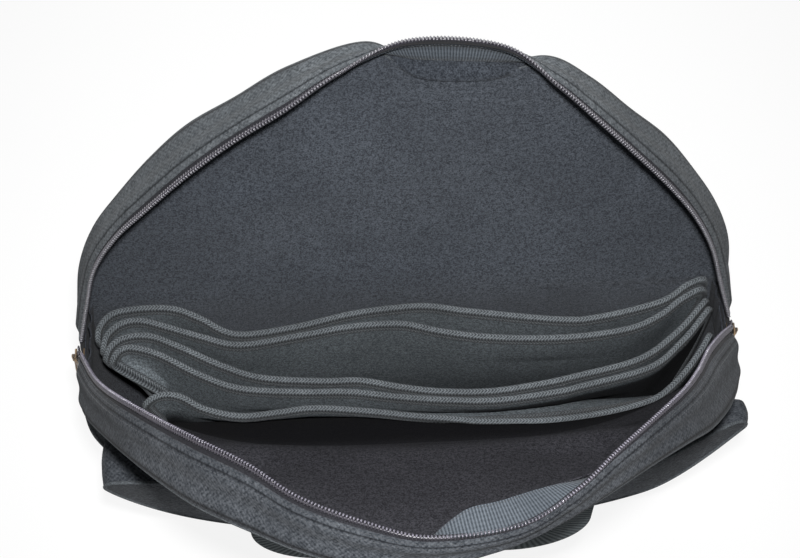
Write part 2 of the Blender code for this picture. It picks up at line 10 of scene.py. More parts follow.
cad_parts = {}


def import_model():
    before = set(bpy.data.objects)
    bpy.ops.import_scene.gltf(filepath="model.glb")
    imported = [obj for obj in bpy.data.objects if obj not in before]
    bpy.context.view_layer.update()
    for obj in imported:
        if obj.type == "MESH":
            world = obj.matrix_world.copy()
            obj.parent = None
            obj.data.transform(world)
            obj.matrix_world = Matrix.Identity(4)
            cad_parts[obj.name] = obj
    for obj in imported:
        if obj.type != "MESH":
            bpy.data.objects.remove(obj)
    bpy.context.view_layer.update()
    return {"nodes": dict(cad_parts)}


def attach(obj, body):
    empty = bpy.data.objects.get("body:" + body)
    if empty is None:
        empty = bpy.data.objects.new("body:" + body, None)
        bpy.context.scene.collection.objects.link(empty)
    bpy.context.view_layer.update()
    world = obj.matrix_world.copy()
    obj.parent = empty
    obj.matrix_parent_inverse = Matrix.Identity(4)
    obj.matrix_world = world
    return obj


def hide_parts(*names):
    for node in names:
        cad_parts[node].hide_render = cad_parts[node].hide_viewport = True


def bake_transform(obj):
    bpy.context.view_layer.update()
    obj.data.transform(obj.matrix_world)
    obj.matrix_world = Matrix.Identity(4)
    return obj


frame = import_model()

RADIUS = 0.2925
HALF_DEPTH = 0.055
CENTRE = 0.2785
MM = 0.001

# Rim of each flap, every 10 degrees from left to right, in millimetres: the piping, and the zip's middle line
REAR_PIPING = (
    (-292, 55, 279), (-286, 62, 328), (-270, 68, 375), (-245, 73, 418), (-215, 81, 459), (-182, 88, 495),
    (-142, 93, 524), (-98, 103, 550), (-36, 107, 574), (6, 99, 553), (66, 98, 549), (111, 101, 555),
    (148, 97, 529), (183, 89, 495), (217, 84, 460), (246, 76, 419), (271, 70, 375), (288, 64, 329), (292, 55, 278),
)
REAR_ZIP = (
    (-290, 3, 282), (-279, 10, 336), (-268, 16, 385), (-246, 21, 428), (-215, 25, 467), (-181, 32, 503),
    (-143, 41, 535), (-103, 51, 560), (-62, 68, 583), (-4, 93, 594), (72, 86, 592), (115, 60, 569),
    (148, 46, 539), (181, 35, 505), (214, 26, 466), (240, 21, 426), (260, 16, 382), (274, 9, 334), (290, 2, 282),
)
FRONT_PIPING = (
    (-289, -57, 275), (-278, -88, 313), (-261, -120, 347), (-240, -153, 378), (-214, -187, 404), (-181, -222, 427),
    (-143, -250, 445), (-99, -276, 456), (-51, -292, 462), (0, -294, 465), (48, -284, 466), (92, -264, 460),
    (133, -237, 449), (172, -207, 432), (211, -176, 408), (238, -150, 377), (261, -119, 346), (278, -87, 312),
    (291, -56, 277),
)
FRONT_ZIP = (
    (-290, -4, 282), (-274, -52, 334), (-260, -88, 381), (-243, -119, 421), (-212, -152, 448), (-180, -182, 471),
    (-139, -214, 487), (-103, -246, 496), (-55, -270, 499), (-7, -284, 498), (61, -277, 497), (106, -249, 495),
    (140, -215, 486), (174, -181, 470), (204, -147, 447), (225, -114, 418), (243, -79, 385), (267, -40, 338),
    (290, -3, 282),
)

# Top edge of each divider, from left to right: across, depth and height in millimetres
DIVIDER_TOPS = {
    1: (
        (-277, 8, 275), (-274, 24, 276), (-261, 37, 277), (-232, 41, 277), (-207, 39, 276), (-185, 29, 275),
        (-154, 12, 274), (-105, 16, 274), (-50, 28, 274), (-5, 33, 274), (22, 33, 274), (58, 26, 274),
        (138, 14, 274), (175, 15, 274), (231, 27, 276), (256, 40, 282), (270, 44, 288), (276, 45, 292),
    ),
    2: (
        (-273, 1, 275), (-267, 16, 276), (-254, 27, 276), (-237, 29, 275), (-216, 22, 275), (-185, 11, 274),
        (-150, 1, 274), (-96, 8, 274), (-51, 15, 274), (-6, 16, 274), (29, 7, 274), (65, 0, 274),
        (110, -4, 274), (155, -4, 274), (201, 2, 274), (229, 13, 276), (251, 27, 281), (275, 37, 288),
    ),
    3: (
        (-271, -5, 275), (-264, 4, 276), (-252, 12, 276), (-230, 13, 275), (-203, 1, 274), (-168, -18, 273),
        (-133, -32, 273), (-80, -38, 273), (-45, -39, 273), (-10, -47, 273), (25, -53, 273), (69, -55, 273),
        (114, -50, 273), (150, -43, 273), (206, -29, 273), (242, -5, 275), (266, 18, 281), (275, 28, 285),
    ),
    4: (
        (-266, -9, 275), (-256, 0, 275), (-245, 2, 275), (-221, -6, 274), (-186, -27, 273), (-151, -42, 273),
        (-98, -48, 273), (-54, -50, 273), (-10, -57, 273), (33, -62, 273), (77, -64, 273), (131, -58, 273),
        (150, -54, 273), (214, -38, 273), (246, -14, 275), (264, 4, 281), (272, 13, 285), (276, 18, 288),
    ),
    5: (
        (-238, -44, 258), (-219, -37, 257), (-203, -40, 256), (-183, -52, 255), (-152, -60, 254), (-119, -58, 254),
        (-86, -55, 254), (-41, -60, 254), (3, -67, 254), (40, -72, 254), (58, -75, 254), (92, -77, 254),
        (128, -78, 254), (183, -73, 254), (212, -66, 255), (240, -46, 261), (262, -22, 269), (275, -3, 277),
    ),
}
DIVIDER_PLACES = (0.0375, 0.0268, -0.0196, -0.0297, -0.0398)
DIVIDER_RADIUS = 0.2765
DIVIDER_TOP = 0.2745
DIVIDER_FOOT = 0.0074
DIVIDER_CORNER = 0.014
DIVIDER_THICK = 0.0032

# The flaps: the front panel's sag, each flap's lean in degrees, half the length of its bend, a panel's edge
BELLY = 0.052
FRONT_LEAN = 50.0
REAR_LEAN = 10.0
FOLD_HALF = 0.030
PANEL_INSET = 0.0016

# The walls' layers: how far each lies below the wall's face, and where it runs between the piping and the zip
WALL_LEVELS = (0.0, 0.0012)
TAPE_LEVELS = (0.0015, 0.0023)
LINING_LEVELS = (0.0016, 0.0025)
COVER_LEVELS = (0.0027, 0.0034)
LOWER_LINING_LEVELS = (0.0056, 0.0065)
LINING_START = 0.0081
LINING_END = 0.0346
COVER_END = 0.0465
CORD_RADIUS = 0.0022
CORD_DROP = 0.0021
CORD_INSET = 0.0009

# Stitches and zip teeth: their pitch, and their size along the row, across it and outwards
STITCH_PITCH = 0.0034
TOOTH_PITCH = 0.0028
STITCH = (0.0026, 0.00055, 0.0004)
FLAP_TOOTH = (0.0017, 0.0060, 0.0026)
FLAP_LOOP = (0.0017, 0.0016, 0.0030)
POCKET_TOOTH = (0.0017, 0.0044, 0.0024)
FOOT_TOOTH = (0.00105, 0.0042, 0.0021)
FOOT_STOP = (0.0032, 0.0090, 0.0028)

# The handles
HANDLE_HALF = 0.125
HANDLE_PIVOT = 0.165
ANCHOR_MIDDLE = 0.189
WEBBING_WIDTH = 0.038
WEBBING_SHARES = np.array([-0.5, -0.47, -0.3, 0.0, 0.3, 0.47, 0.5])


# Numbers


def smooth(t):
    t = np.clip(t, 0.0, 1.0)
    return t * t * (3 - 2 * t)


def along_table(table, at):
    """A smooth curve through evenly spaced rows; at runs from 0 to the last row's index."""
    rows = np.asarray(table, float) * MM
    rows = np.vstack([2 * rows[0] - rows[1], rows, 2 * rows[-1] - rows[-2]])
    at = np.clip(np.asarray(at, float), 0, len(rows) - 3 - 1e-9)
    k = at.astype(int)
    t = (at - k)[..., None]
    a, b, c, d = rows[k], rows[k + 1], rows[k + 2], rows[k + 3]
    return 0.5 * (2 * b + (c - a) * t + (2 * a - 5 * b + 4 * c - d) * t**2 + (3 * b - 3 * c + d - a) * t**3)


def unit(v):
    return v / np.maximum(np.linalg.norm(v, axis=-1, keepdims=True), 1e-12)


def run_lengths(points, axis=0):
    steps = np.linalg.norm(np.diff(points, axis=axis), axis=-1)
    start = np.zeros_like(np.take(steps, [0], axis=axis))
    return np.concatenate([start, np.cumsum(steps, axis=axis)], axis=axis)


def grid_normals(points, loop=False):
    """Unit normals of a grid of points, from its two directions."""
    if loop:
        across = np.roll(points, -1, 0) - np.roll(points, 1, 0)
    else:
        across = np.gradient(points, axis=0)
    return unit(np.cross(across, np.gradient(points, axis=1)))


# Meshes


def new_object(name, mesh):
    obj = bpy.data.objects.new(name, mesh)
    bpy.context.scene.collection.objects.link(obj)
    return obj


def corner_points(mesh):
    """The vertex number of each face corner."""
    corners = np.empty(len(mesh.loops), int)
    mesh.loops.foreach_get("vertex_index", corners)
    return corners


def stacked(*parts):
    """Grids or runs of two or three coordinates, as one grid of points."""
    return np.stack(np.broadcast_arrays(*parts), -1)


def finished(name, mesh, finish, uv, crease=None, sharp=60.0):
    """Gives a mesh its map, outward faces, smooth shading and finish. Its optional per-point painted shade darkens
    it, point by point.
    """
    if crease is not None:
        mesh.attributes.new("crease", "FLOAT", "POINT").data.foreach_set("value", crease.astype(np.float32))
    mesh.uv_layers.new(name="UVMap").data.foreach_set("uv", uv.astype(np.float32).ravel())
    bm = bmesh.new()
    bm.from_mesh(mesh)
    bmesh.ops.recalc_face_normals(bm, faces=bm.faces)
    bm.to_mesh(mesh)
    bm.free()
    mesh.materials.append(finish)
    mesh.shade_smooth()
    mesh.set_sharp_from_angle(angle=math.radians(sharp))
    return new_object(name, mesh)


def cells_solid(name, outer, inner, finish, uv, keep=None, loop=False, crease=None):
    """A closed solid between two grids of points. keep says which cells are cloth; the others are holes."""
    n, m = outer.shape[:2]
    rows = n if loop else n - 1
    keep = np.ones((rows, m - 1), bool) if keep is None else keep
    points = np.concatenate([outer.reshape(-1, 3), inner.reshape(-1, 3)])
    shift = n * m
    faces = []

    def kept(i, j):
        if loop:
            i %= rows
        return 0 <= i < rows and 0 <= j < m - 1 and keep[i, j]

    for i, j in np.argwhere(keep).tolist():
        after = (i + 1) % n
        a, b, c, d = i * m + j, after * m + j, after * m + j + 1, i * m + j + 1
        faces += [(a, b, c, d), (d + shift, c + shift, b + shift, a + shift)]
        beside = (((i - 1, j), (d, a)), ((i + 1, j), (b, c)), ((i, j - 1), (a, b)), ((i, j + 1), (c, d)))
        for here, (p, q) in beside:
            if not kept(*here):
                faces.append((q, p, p + shift, q + shift))
    faces = np.array(faces)
    used = np.zeros(len(points), bool)
    used[faces.ravel()] = True
    number = np.cumsum(used) - 1
    mesh = bpy.data.meshes.new(name)
    mesh.from_pydata(points[used].tolist(), [], number[faces].tolist())
    values = np.concatenate([uv.reshape(-1, 2)] * 2)[used][corner_points(mesh)]
    if loop:
        # the cells that close the loop take their far corners from the end of the run
        turn = uv[-1, 0, 0] + uv[1, 0, 0] - uv[0, 0, 0]
        values = values.reshape(-1, 4, 2)
        wide = np.ptp(values[:, :, 0], axis=1) > 0.5 * turn
        low = values[:, :, 0] < 0.5 * turn
        values[:, :, 0] += np.where(wide[:, None] & low, turn, 0.0)
    if crease is not None:
        crease = np.concatenate([crease.ravel()] * 2)[used]
    return finished(name, mesh, finish, values, crease, 50.0)


def tube(name, path, radius, up, finish, sides, loop=False):
    """A solid round cord along a path. up is a direction across it at each point; open ends are closed."""
    path = np.asarray(path, float)
    ahead = unit(np.roll(path, -1, 0) - np.roll(path, 1, 0) if loop else np.gradient(path, axis=0))
    side_way = unit(np.cross(ahead, up))
    up_way = unit(np.cross(side_way, ahead))
    angle = np.linspace(0, math.tau, sides, endpoint=False)
    ring = path[:, None] + radius * np.cos(angle)[None, :, None] * side_way[:, None]
    ring = ring + radius * np.sin(angle)[None, :, None] * up_way[:, None]
    n = len(path)
    faces = []
    for i in range(n if loop else n - 1):
        here, there = i * sides, ((i + 1) % n) * sides
        for k in range(sides):
            after = (k + 1) % sides
            faces.append((here + k, here + after, there + after, there + k))
    if not loop:
        faces += [tuple(range(sides)), tuple(reversed(range((n - 1) * sides, n * sides)))]
    mesh = bpy.data.meshes.new(name)
    mesh.from_pydata(ring.reshape(-1, 3).tolist(), [], faces)
    corners = corner_points(mesh)
    uv = stacked(run_lengths(path)[corners // sides], (angle * radius)[corners % sides])
    return finished(name, mesh, finish, uv)


def repeat_tree():
    """Small rounded pieces at the points of a mesh, turned by its two direction attributes."""
    tree = bpy.data.node_groups.new("repeat_along", "GeometryNodeTree")
    sockets = (("Geometry", "INPUT", "Geometry"), ("Size", "INPUT", "Vector"), ("Finish", "INPUT", "Material"),
               ("Geometry", "OUTPUT", "Geometry"))
    for label, way, kind in sockets:
        tree.interface.new_socket(label, in_out=way, socket_type=f"NodeSocket{kind}")
    make = tree.nodes.new
    start, end = make("NodeGroupInput"), make("NodeGroupOutput")
    ball = make("GeometryNodeMeshUVSphere")
    for label, value in (("Segments", 8), ("Rings", 5), ("Radius", 0.5)):
        ball.inputs[label].default_value = value
    turn = make("FunctionNodeAxesToRotation")
    turn.primary_axis, turn.secondary_axis = "Z", "X"
    for name, socket in (("outwards", "Primary Axis"), ("along", "Secondary Axis")):
        way = make("GeometryNodeInputNamedAttribute")
        way.data_type = "FLOAT_VECTOR"
        way.inputs["Name"].default_value = name
        tree.links.new(way.outputs["Attribute"], turn.inputs[socket])
    place, real = make("GeometryNodeInstanceOnPoints"), make("GeometryNodeRealizeInstances")
    round_off, paint = make("GeometryNodeSetShadeSmooth"), make("GeometryNodeSetMaterial")
    links = (
        (start, "Geometry", place, "Points"), (ball, "Mesh", place, "Instance"),
        (turn, "Rotation", place, "Rotation"), (start, "Size", place, "Scale"),
        (place, "Instances", real, "Geometry"), (real, "Geometry", round_off, "Geometry"),
        (round_off, "Geometry", paint, "Geometry"), (start, "Finish", paint, "Material"),
        (paint, "Geometry", end, "Geometry"),
    )
    for source, out, target, into in links:
        tree.links.new(source.outputs[out], target.inputs[into])
    return tree


REPEAT = repeat_tree()


def repeated(name, points, along, outwards, size, finish):
    """One mesh of equal small pieces, such as zip teeth or stitches, made with the tree above."""
    mesh = bpy.data.meshes.new(name)
    mesh.from_pydata(np.asarray(points).tolist(), [], [])
    for key, values in (("along", along), ("outwards", outwards)):
        attribute = mesh.attributes.new(key, "FLOAT_VECTOR", "POINT")
        attribute.data.foreach_set("vector", np.asarray(values, np.float32).ravel())
    obj = new_object(name, mesh)
    step = obj.modifiers.new("repeat", "NODES")
    step.node_group = REPEAT
    sockets = {item.name: item.identifier for item in REPEAT.interface.items_tree if item.in_out == "INPUT"}
    step[sockets["Size"]] = size
    step[sockets["Finish"]] = finish
    bpy.context.view_layer.update()
    graph = bpy.context.evaluated_depsgraph_get()
    made = bpy.data.meshes.new_from_object(obj.evaluated_get(graph))
    obj.modifiers.clear()
    obj.data = made
    bpy.data.meshes.remove(mesh)
    return obj


def joined(name, objs):
    """Several objects as one mesh of separate bodies, with their materials."""
    bm = bmesh.new()
    finishes = []
    for obj in objs:
        start = len(bm.faces)
        slots = []
        for finish in obj.data.materials:
            if finish not in finishes:
                finishes.append(finish)
            slots.append(finishes.index(finish))
        bm.from_mesh(obj.data)
        bm.faces.ensure_lookup_table()
        for face in bm.faces[start:]:
            face.material_index = slots[min(face.material_index, len(slots) - 1)]
    mesh = bpy.data.meshes.new(name)
    bm.to_mesh(mesh)
    bm.free()
    for finish in finishes:
        mesh.materials.append(finish)
    for obj in objs:
        bpy.data.objects.remove(obj)
    return new_object(name, mesh)


# Materials


class Tree:
    """Short ways to add nodes to a shader tree or group."""

    def __init__(self, tree):
        self.tree = tree

    def node(self, kind, **values):
        made = self.tree.nodes.new(kind)
        for name, value in values.items():
            setattr(made, name, value)
        return made

    def put(self, value, socket):
        if isinstance(value, bpy.types.NodeSocket):
            self.tree.links.new(value, socket)
        else:
            socket.default_value = value

    def math(self, operation, a, b=0.0, clamp=False):
        made = self.node("ShaderNodeMath", operation=operation, use_clamp=clamp)
        self.put(a, made.inputs[0])
        self.put(b, made.inputs[1])
        return made.outputs[0]

    def uv(self):
        split = self.node("ShaderNodeSeparateXYZ")
        self.tree.links.new(self.node("ShaderNodeTexCoord").outputs["UV"], split.inputs[0])
        return split.outputs[0], split.outputs[1]

    def noise(self, vector, scale, detail=2.0, rough=0.5):
        made = self.node("ShaderNodeTexNoise")
        self.put(vector, made.inputs["Vector"])
        self.put(scale, made.inputs["Scale"])
        made.inputs["Detail"].default_value = detail
        made.inputs["Roughness"].default_value = rough
        return made.outputs["Fac"]

    def remap(self, value, low, high, to_low=0.0, to_high=1.0):
        made = self.node("ShaderNodeMapRange", interpolation_type="SMOOTHSTEP")
        self.put(value, made.inputs["Value"])
        for name, number in (("From Min", low), ("From Max", high), ("To Min", to_low), ("To Max", to_high)):
            self.put(number, made.inputs[name])
        return made.outputs["Result"]

    def blend(self, factor, a, b):
        """A colour between two, each a link or a tuple. The colour sockets come after those of other kinds."""
        made = self.node("ShaderNodeMix", data_type="RGBA")
        self.put(factor, made.inputs["Factor"])
        for value, socket in ((a, made.inputs[6]), (b, made.inputs[7])):
            self.put((*value, 1.0) if isinstance(value, tuple) else value, socket)
        return made.outputs[2]

    def bump(self, height, strength, distance):
        made = self.node("ShaderNodeBump")
        self.fill(made.inputs, {"Strength": strength, "Distance": distance, "Height": height})
        return made.outputs["Normal"]

    def fill(self, sockets, values):
        for name, value in values.items():
            self.put(value, sockets[name])

    def shows_backdrop(self):
        """1 for rays from the eye and for those that a piece's own gloss or glass sends out."""
        rays = self.node("ShaderNodeLightPath").outputs
        mirrored = self.math("MAXIMUM", rays["Is Glossy Ray"], rays["Is Transmission Ray"])
        return self.math("MAXIMUM", rays["Is Camera Ray"], mirrored)


def group(name, inputs, outputs, fill):
    tree = bpy.data.node_groups.new(name, "ShaderNodeTree")
    for label, value in inputs.items():
        socket = tree.interface.new_socket(label, in_out="INPUT", socket_type="NodeSocketFloat")
        socket.default_value = value
    for label in outputs:
        tree.interface.new_socket(label, in_out="OUTPUT", socket_type="NodeSocketFloat")
    work = Tree(tree)
    start, end = work.node("NodeGroupInput"), work.node("NodeGroupOutput")
    for label, value in fill(work, start.outputs).items():
        tree.links.new(value, end.inputs[label])
    return tree


def weave_fill(t, given):
    """Threads that pass over and under each other, at a pitch in metres."""
    u, v = t.uv()
    turn = t.math("DIVIDE", math.pi, given["Pitch"])
    warp = t.math("SINE", t.math("MULTIPLY", u, turn))
    weft = t.math("SINE", t.math("MULTIPLY", v, turn))
    over = t.math("MULTIPLY", warp, weft)
    return {"Height": t.math("ADD", t.math("MULTIPLY", over, 0.5), 0.5)}


def twill_fill(t, given):
    """Slanted ribs that turn back at the middle of the tape, as in a herringbone."""
    u, v = t.uv()
    fold = t.math("PINGPONG", v, given["Column"])
    lean = t.math("ADD", u, t.math("MULTIPLY", fold, given["Slant"]))
    wave = t.math("SINE", t.math("MULTIPLY", lean, t.math("DIVIDE", math.tau, given["Pitch"])))
    edge = t.math("SINE", t.math("MULTIPLY", v, t.math("DIVIDE", math.tau, given["Column"])))
    ribs = t.math("ADD", t.math("MULTIPLY", wave, 0.42), t.math("MULTIPLY", edge, 0.08))
    return {"Height": t.math("ADD", ribs, 0.5)}


def speckle_fill(t, given):
    """Fine fibre flecks, with slower patches of wear and dust under them."""
    where = t.node("ShaderNodeTexCoord").outputs["Object"]
    fine = t.noise(where, given["Fine"], 3.0, 0.7)
    middle = t.noise(where, t.math("MULTIPLY", given["Fine"], 0.45), 1.0, 0.5)
    slow = t.noise(where, 9.0, 3.0, 0.6)
    flecks = t.math("ADD", t.math("MULTIPLY", fine, 0.75), t.math("MULTIPLY", middle, 0.25))
    return {"Fleck": t.remap(flecks, 0.36, 0.66), "Patch": t.remap(slow, 0.32, 0.68)}


WEAVE = group("thread_weave", {"Pitch": 0.0012}, ["Height"], weave_fill)
TWILL = group("folded_twill", {"Pitch": 0.002, "Slant": 0.8, "Column": 0.004}, ["Height"], twill_fill)
SPECKLE = group("fibre_speckle", {"Fine": 900.0}, ["Fleck", "Patch"], speckle_fill)


def use(t, tree, **values):
    made = t.node("ShaderNodeGroup", node_tree=tree)
    t.fill(made.inputs, values)
    return made.outputs


def new_finish(name):
    """A new material, its tree and its shader's sockets."""
    made = bpy.data.materials.new(name)
    made.use_nodes = True
    return made, Tree(made.node_tree), made.node_tree.nodes["Principled BSDF"].inputs


def fabric(name, dark, light, pattern, fine=900.0, weight=0.5, bump=0.0003, sheen=0.06, patch=0.25):
    """A woven finish: pattern makes the threads' height, and flecks and patches vary its colour."""
    made, t, shader = new_finish(name)
    speck = use(t, SPECKLE, Fine=fine)
    mixed = t.math("ADD", t.math("MULTIPLY", pattern(t), weight), t.math("MULTIPLY", speck["Fleck"], 1 - weight))
    worn = t.math("MULTIPLY", mixed, t.remap(speck["Patch"], 0.0, 1.0, 1 - patch, 1.0), clamp=True)
    # painted shade: a per-point value blends the colour to near black in grooves, in gaps and under edges
    seam = t.node("ShaderNodeAttribute", attribute_name="crease").outputs["Fac"]
    t.fill(shader, {
        "Base Color": t.blend(seam, t.blend(worn, dark, light), (0.003, 0.003, 0.004)),
        "Roughness": t.remap(mixed, 0.0, 1.0, 0.96, 0.84),
        "Specular IOR Level": 0.03,
        "Sheen Weight": sheen,
        "Sheen Roughness": 0.5,
        "Normal": t.bump(mixed, 0.7, bump),
    })
    return made


def woven(pitch):
    return lambda t: use(t, WEAVE, Pitch=pitch)["Height"]


def ribbed(pitch, slant=0.0, column=0.004):
    return lambda t: use(t, TWILL, Pitch=pitch, Slant=slant, Column=column)["Height"]


def coarse(name, dark, light):
    return fabric(name, dark, light, woven(0.0022), 430.0, 0.35, 0.0007, patch=0.35)


def brushed(name, dark, light, sheen):
    return fabric(name, dark, light, woven(0.0008), 760.0, 0.10, 0.0004, sheen)


def nylon(name, dark, light, rough):
    made, t, shader = new_finish(name)
    speck = use(t, SPECKLE, Fine=1500.0)
    t.fill(shader, {
        "Base Color": t.blend(speck["Fleck"], dark, light),
        "Roughness": t.remap(speck["Patch"], 0.0, 1.0, rough - 0.06, rough + 0.10),
        "Specular IOR Level": 0.6,
        "Coat Weight": 0.3,
        "Coat Roughness": 0.2,
    })
    return made


def worn_metal(name):
    """Dark plated metal, rubbed to brass along its edges."""
    made, t, shader = new_finish(name)
    speck = use(t, SPECKLE, Fine=700.0)
    edges = t.remap(t.node("ShaderNodeNewGeometry").outputs["Pointiness"], 0.55, 0.66)
    rubbed = t.math("MAXIMUM", edges, t.math("MULTIPLY", speck["Fleck"], 0.10))
    t.fill(shader, {
        "Base Color": t.blend(rubbed, (0.050, 0.047, 0.046), (0.40, 0.28, 0.17)),
        "Metallic": 0.92,
        "Roughness": t.remap(speck["Patch"], 0.0, 1.0, 0.24, 0.44),
        "Normal": t.bump(speck["Fleck"], 0.25, 0.0001),
    })
    return made


FINISH = {
    # one outer fabric in two copies: the second, for the front wall and the pocket, is darker, painted shade
    "cloth": coarse("coarse_weave", (0.034, 0.039, 0.044), (0.172, 0.188, 0.202)),
    "shaded_front_cloth": coarse("front_weave", (0.018, 0.021, 0.026), (0.120, 0.130, 0.145)),
    # one lining cloth in three copies: the rear one is lighter, painted light; the plain and front ones are darker,
    # painted shade
    "lining": brushed("brushed_speckle", (0.010, 0.011, 0.014), (0.060, 0.066, 0.080), 0.06),
    "rear_lining": brushed("rear_speckle", (0.018, 0.021, 0.027), (0.100, 0.114, 0.136), 0.08),
    "front_lining": brushed("front_speckle", (0.010, 0.010, 0.012), (0.056, 0.056, 0.065), 0.01),
    "divider": brushed("divider_speckle", (0.045, 0.051, 0.056), (0.182, 0.207, 0.225), 0.01),
    "binding": fabric("herringbone", (0.010, 0.011, 0.013), (0.205, 0.226, 0.242),
                      ribbed(0.0029, 0.9, 0.0036), 620.0, 0.72, 0.0008),
    "grosgrain": fabric("grosgrain", (0.022, 0.027, 0.033), (0.140, 0.160, 0.184),
                        ribbed(0.0025), 900.0, 0.75, 0.0005),
    "webbing": fabric("ribbed_webbing", (0.028, 0.034, 0.037), (0.235, 0.270, 0.285),
                      ribbed(0.0042, 0.0, 0.038), 900.0, 0.8, 0.0008),
    "piping": fabric("piping_cloth", (0.036, 0.041, 0.046), (0.170, 0.186, 0.200), woven(0.0010), 850.0, 0.35),
    "tape": fabric("zip_tape", (0.010, 0.010, 0.012), (0.045, 0.045, 0.052), ribbed(0.0012), 900.0, 0.6, 0.0002),
    "coil": nylon("nylon_coil", (0.016, 0.014, 0.020), (0.060, 0.055, 0.072), 0.26),
    # the coil's loop ends, lighter than the coil: a painted glint, dimmer on the rear zip
    "loop": nylon("coil_loops", (0.066, 0.061, 0.080), (0.260, 0.246, 0.300), 0.22),
    "rear_loop": nylon("rear_loops", (0.050, 0.050, 0.058), (0.210, 0.205, 0.230), 0.32),
    "thread": nylon("sewing_thread", (0.020, 0.022, 0.025), (0.060, 0.066, 0.074), 0.5),
    "metal": worn_metal("blackened_metal"),
}


def settle(obj, body=None, stands_for=()):
    """Hides the nodes that a piece replaces and, where one body carries it, attaches the piece to that body."""
    if stands_for:
        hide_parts(*stands_for)
    if body:
        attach(obj, body)
    return obj


# The bag's shape


def bend(s, lean):
    """How far out and up a panel goes at s above its fold, where it bends smoothly to its lean."""
    lean = math.radians(lean)
    s = np.asarray(s, float)
    t = np.clip(s, -FOLD_HALF, FOLD_HALF)
    rate = lean / (2 * FOLD_HALF)
    angle = rate * (t + FOLD_HALF)
    out = (1 - np.cos(angle)) / rate
    up = np.sin(angle) / rate - FOLD_HALF
    over, under = np.maximum(s - FOLD_HALF, 0), np.minimum(s + FOLD_HALF, 0)
    return out + over * math.sin(lean), up + over * math.cos(lean) + under


def front_belly(x, s):
    """How far the front panel's fold sags out over the pocket, at s above the mouth."""
    wide = np.clip(1 - (x / 0.27) ** 4, 0, None) ** 1.5
    return BELLY * wide * smooth((s + 0.066) / 0.056) * (1 - smooth((s - 0.015) / 0.13))


def ripple(x, s, side):
    """The slack of a large panel of cloth, in metres; it dies out at the rim and near the pocket."""
    wave = 0.0016 * np.sin(11 * x + 3.1 * s + side) + 0.0012 * np.sin(23 * s - 9 * x)
    return wave * smooth((s + 0.02) / 0.08)


def flap_axes(side):
    """The middle of a flap's fold, and the directions up along the flap and square out of its face."""
    lean = math.radians(REAR_LEAN if side > 0 else FRONT_LEAN)
    up = np.array([0.0, side * math.sin(lean), math.cos(lean)])
    face = np.array([0.0, side * math.cos(lean), -math.sin(lean)])
    return np.array([0.0, side * HALF_DEPTH, CENTRE]), up, face


def panel_base(side, x, s):
    """A point of a panel's outer face before its rim is set. x runs across, s up from the fold."""
    out, up = bend(s, REAR_LEAN if side > 0 else FRONT_LEAN)
    y, z = side * (HALF_DEPTH + out), CENTRE + up
    if side < 0:
        y = y - front_belly(x, s)
    return stacked(x, y, z)


def rim_tables(side):
    return (REAR_PIPING, REAR_ZIP) if side > 0 else (FRONT_PIPING, FRONT_ZIP)


def rim_point(side, phi):
    """The outer corner where a panel meets its side wall. phi is in degrees, 180 at the left, 0 at the right."""
    phi = np.asarray(phi, float)
    piping, left = rim_tables(side)[0], phi > 90
    upper = along_table(piping, (180 - np.clip(phi, 0, 180)) / 10)
    reach, _ = lower_reach(phi, RADIUS, 0.0)
    turn = np.radians(phi)
    lower = panel_base(side, reach * np.cos(turn), reach * np.sin(turn))
    share = smooth(np.where(left, (phi - 180) / 14, -phi / 14))[..., None]
    end = np.where(left[..., None], along_table(piping, 0.0), along_table(piping, 18.0))
    flat = np.where(left[..., None], panel_base(side, -RADIUS, 0.0), panel_base(side, RADIUS, 0.0))
    eased = lower + (end - flat) * (1 - share)
    return np.where(((phi >= 0) & (phi <= 180))[..., None], upper, eased)


def lower_reach(phi, radius, floor):
    """The radius at an angle, cut short where the base is flat."""
    down = -np.sin(np.radians(phi))
    fall = CENTRE - floor
    flat = fall / np.maximum(down, 1e-6)
    hit = (down > 0) & (flat < radius)
    return np.where(hit, flat, radius), hit


def panel_surface(side, phi, share, inset):
    """The panel's outer face. share runs from 0 at the middle to 1 at its edge, which stops short of the rim."""
    turn = np.radians(phi)
    whole, _ = lower_reach(phi, RADIUS, 0.0)
    reach, _ = lower_reach(phi, RADIUS - inset, inset)
    r = reach * share
    x, s = r * np.cos(turn), r * np.sin(turn)
    moved = rim_point(side, phi) - panel_base(side, whole * np.cos(turn), whole * np.sin(turn))
    points = panel_base(side, x, s) + moved * ((r / whole) ** 2.6)[..., None]
    points[..., 1] += side * ripple(x, s, side) * (1 - (r / whole) ** 4)
    # round its handle's anchors the cloth is held to the flap's flat plane
    fold, up, face = flap_axes(side)
    beside = np.maximum(np.abs(np.abs(x) - HANDLE_HALF) - 0.021, 0)
    beyond = np.maximum(np.abs(s - ANCHOR_MIDDLE) - 0.027, 0)
    held = (1 - smooth(np.hypot(beside, beyond) / 0.040)) * (1 - smooth((r / whole - 0.90) / 0.09))
    off = (points - fold - s[..., None] * up) @ face * held
    return points - off[..., None] * face, stacked(x, s)


def panel(name, side, start, end, inset, finish, shadow_below=None):
    """A layer of a round panel, between two depths in from its outer face, over the lower bag and the flap. It can
    take painted shadow below a height.
    """
    around = np.linspace(0, 360, 288, endpoint=False)
    inwards = np.concatenate([[0.004], np.linspace(0.05, 0.9, 40), np.linspace(0.92, 1.0, 8)])
    points, uv = panel_surface(side, *np.meshgrid(around, inwards, indexing="ij"), inset)
    normal = grid_normals(points, loop=True)
    if side * normal[:, :, 1].mean() < 0:
        normal = -normal
    # painted shadow: near black below the given height, fading out over 3 cm above it
    crease = None if shadow_below is None else 0.97 * (1 - smooth((uv[..., 1] - shadow_below) / 0.03))
    return disc_solid(name, points - normal * start, points - normal * end, uv, finish, crease)


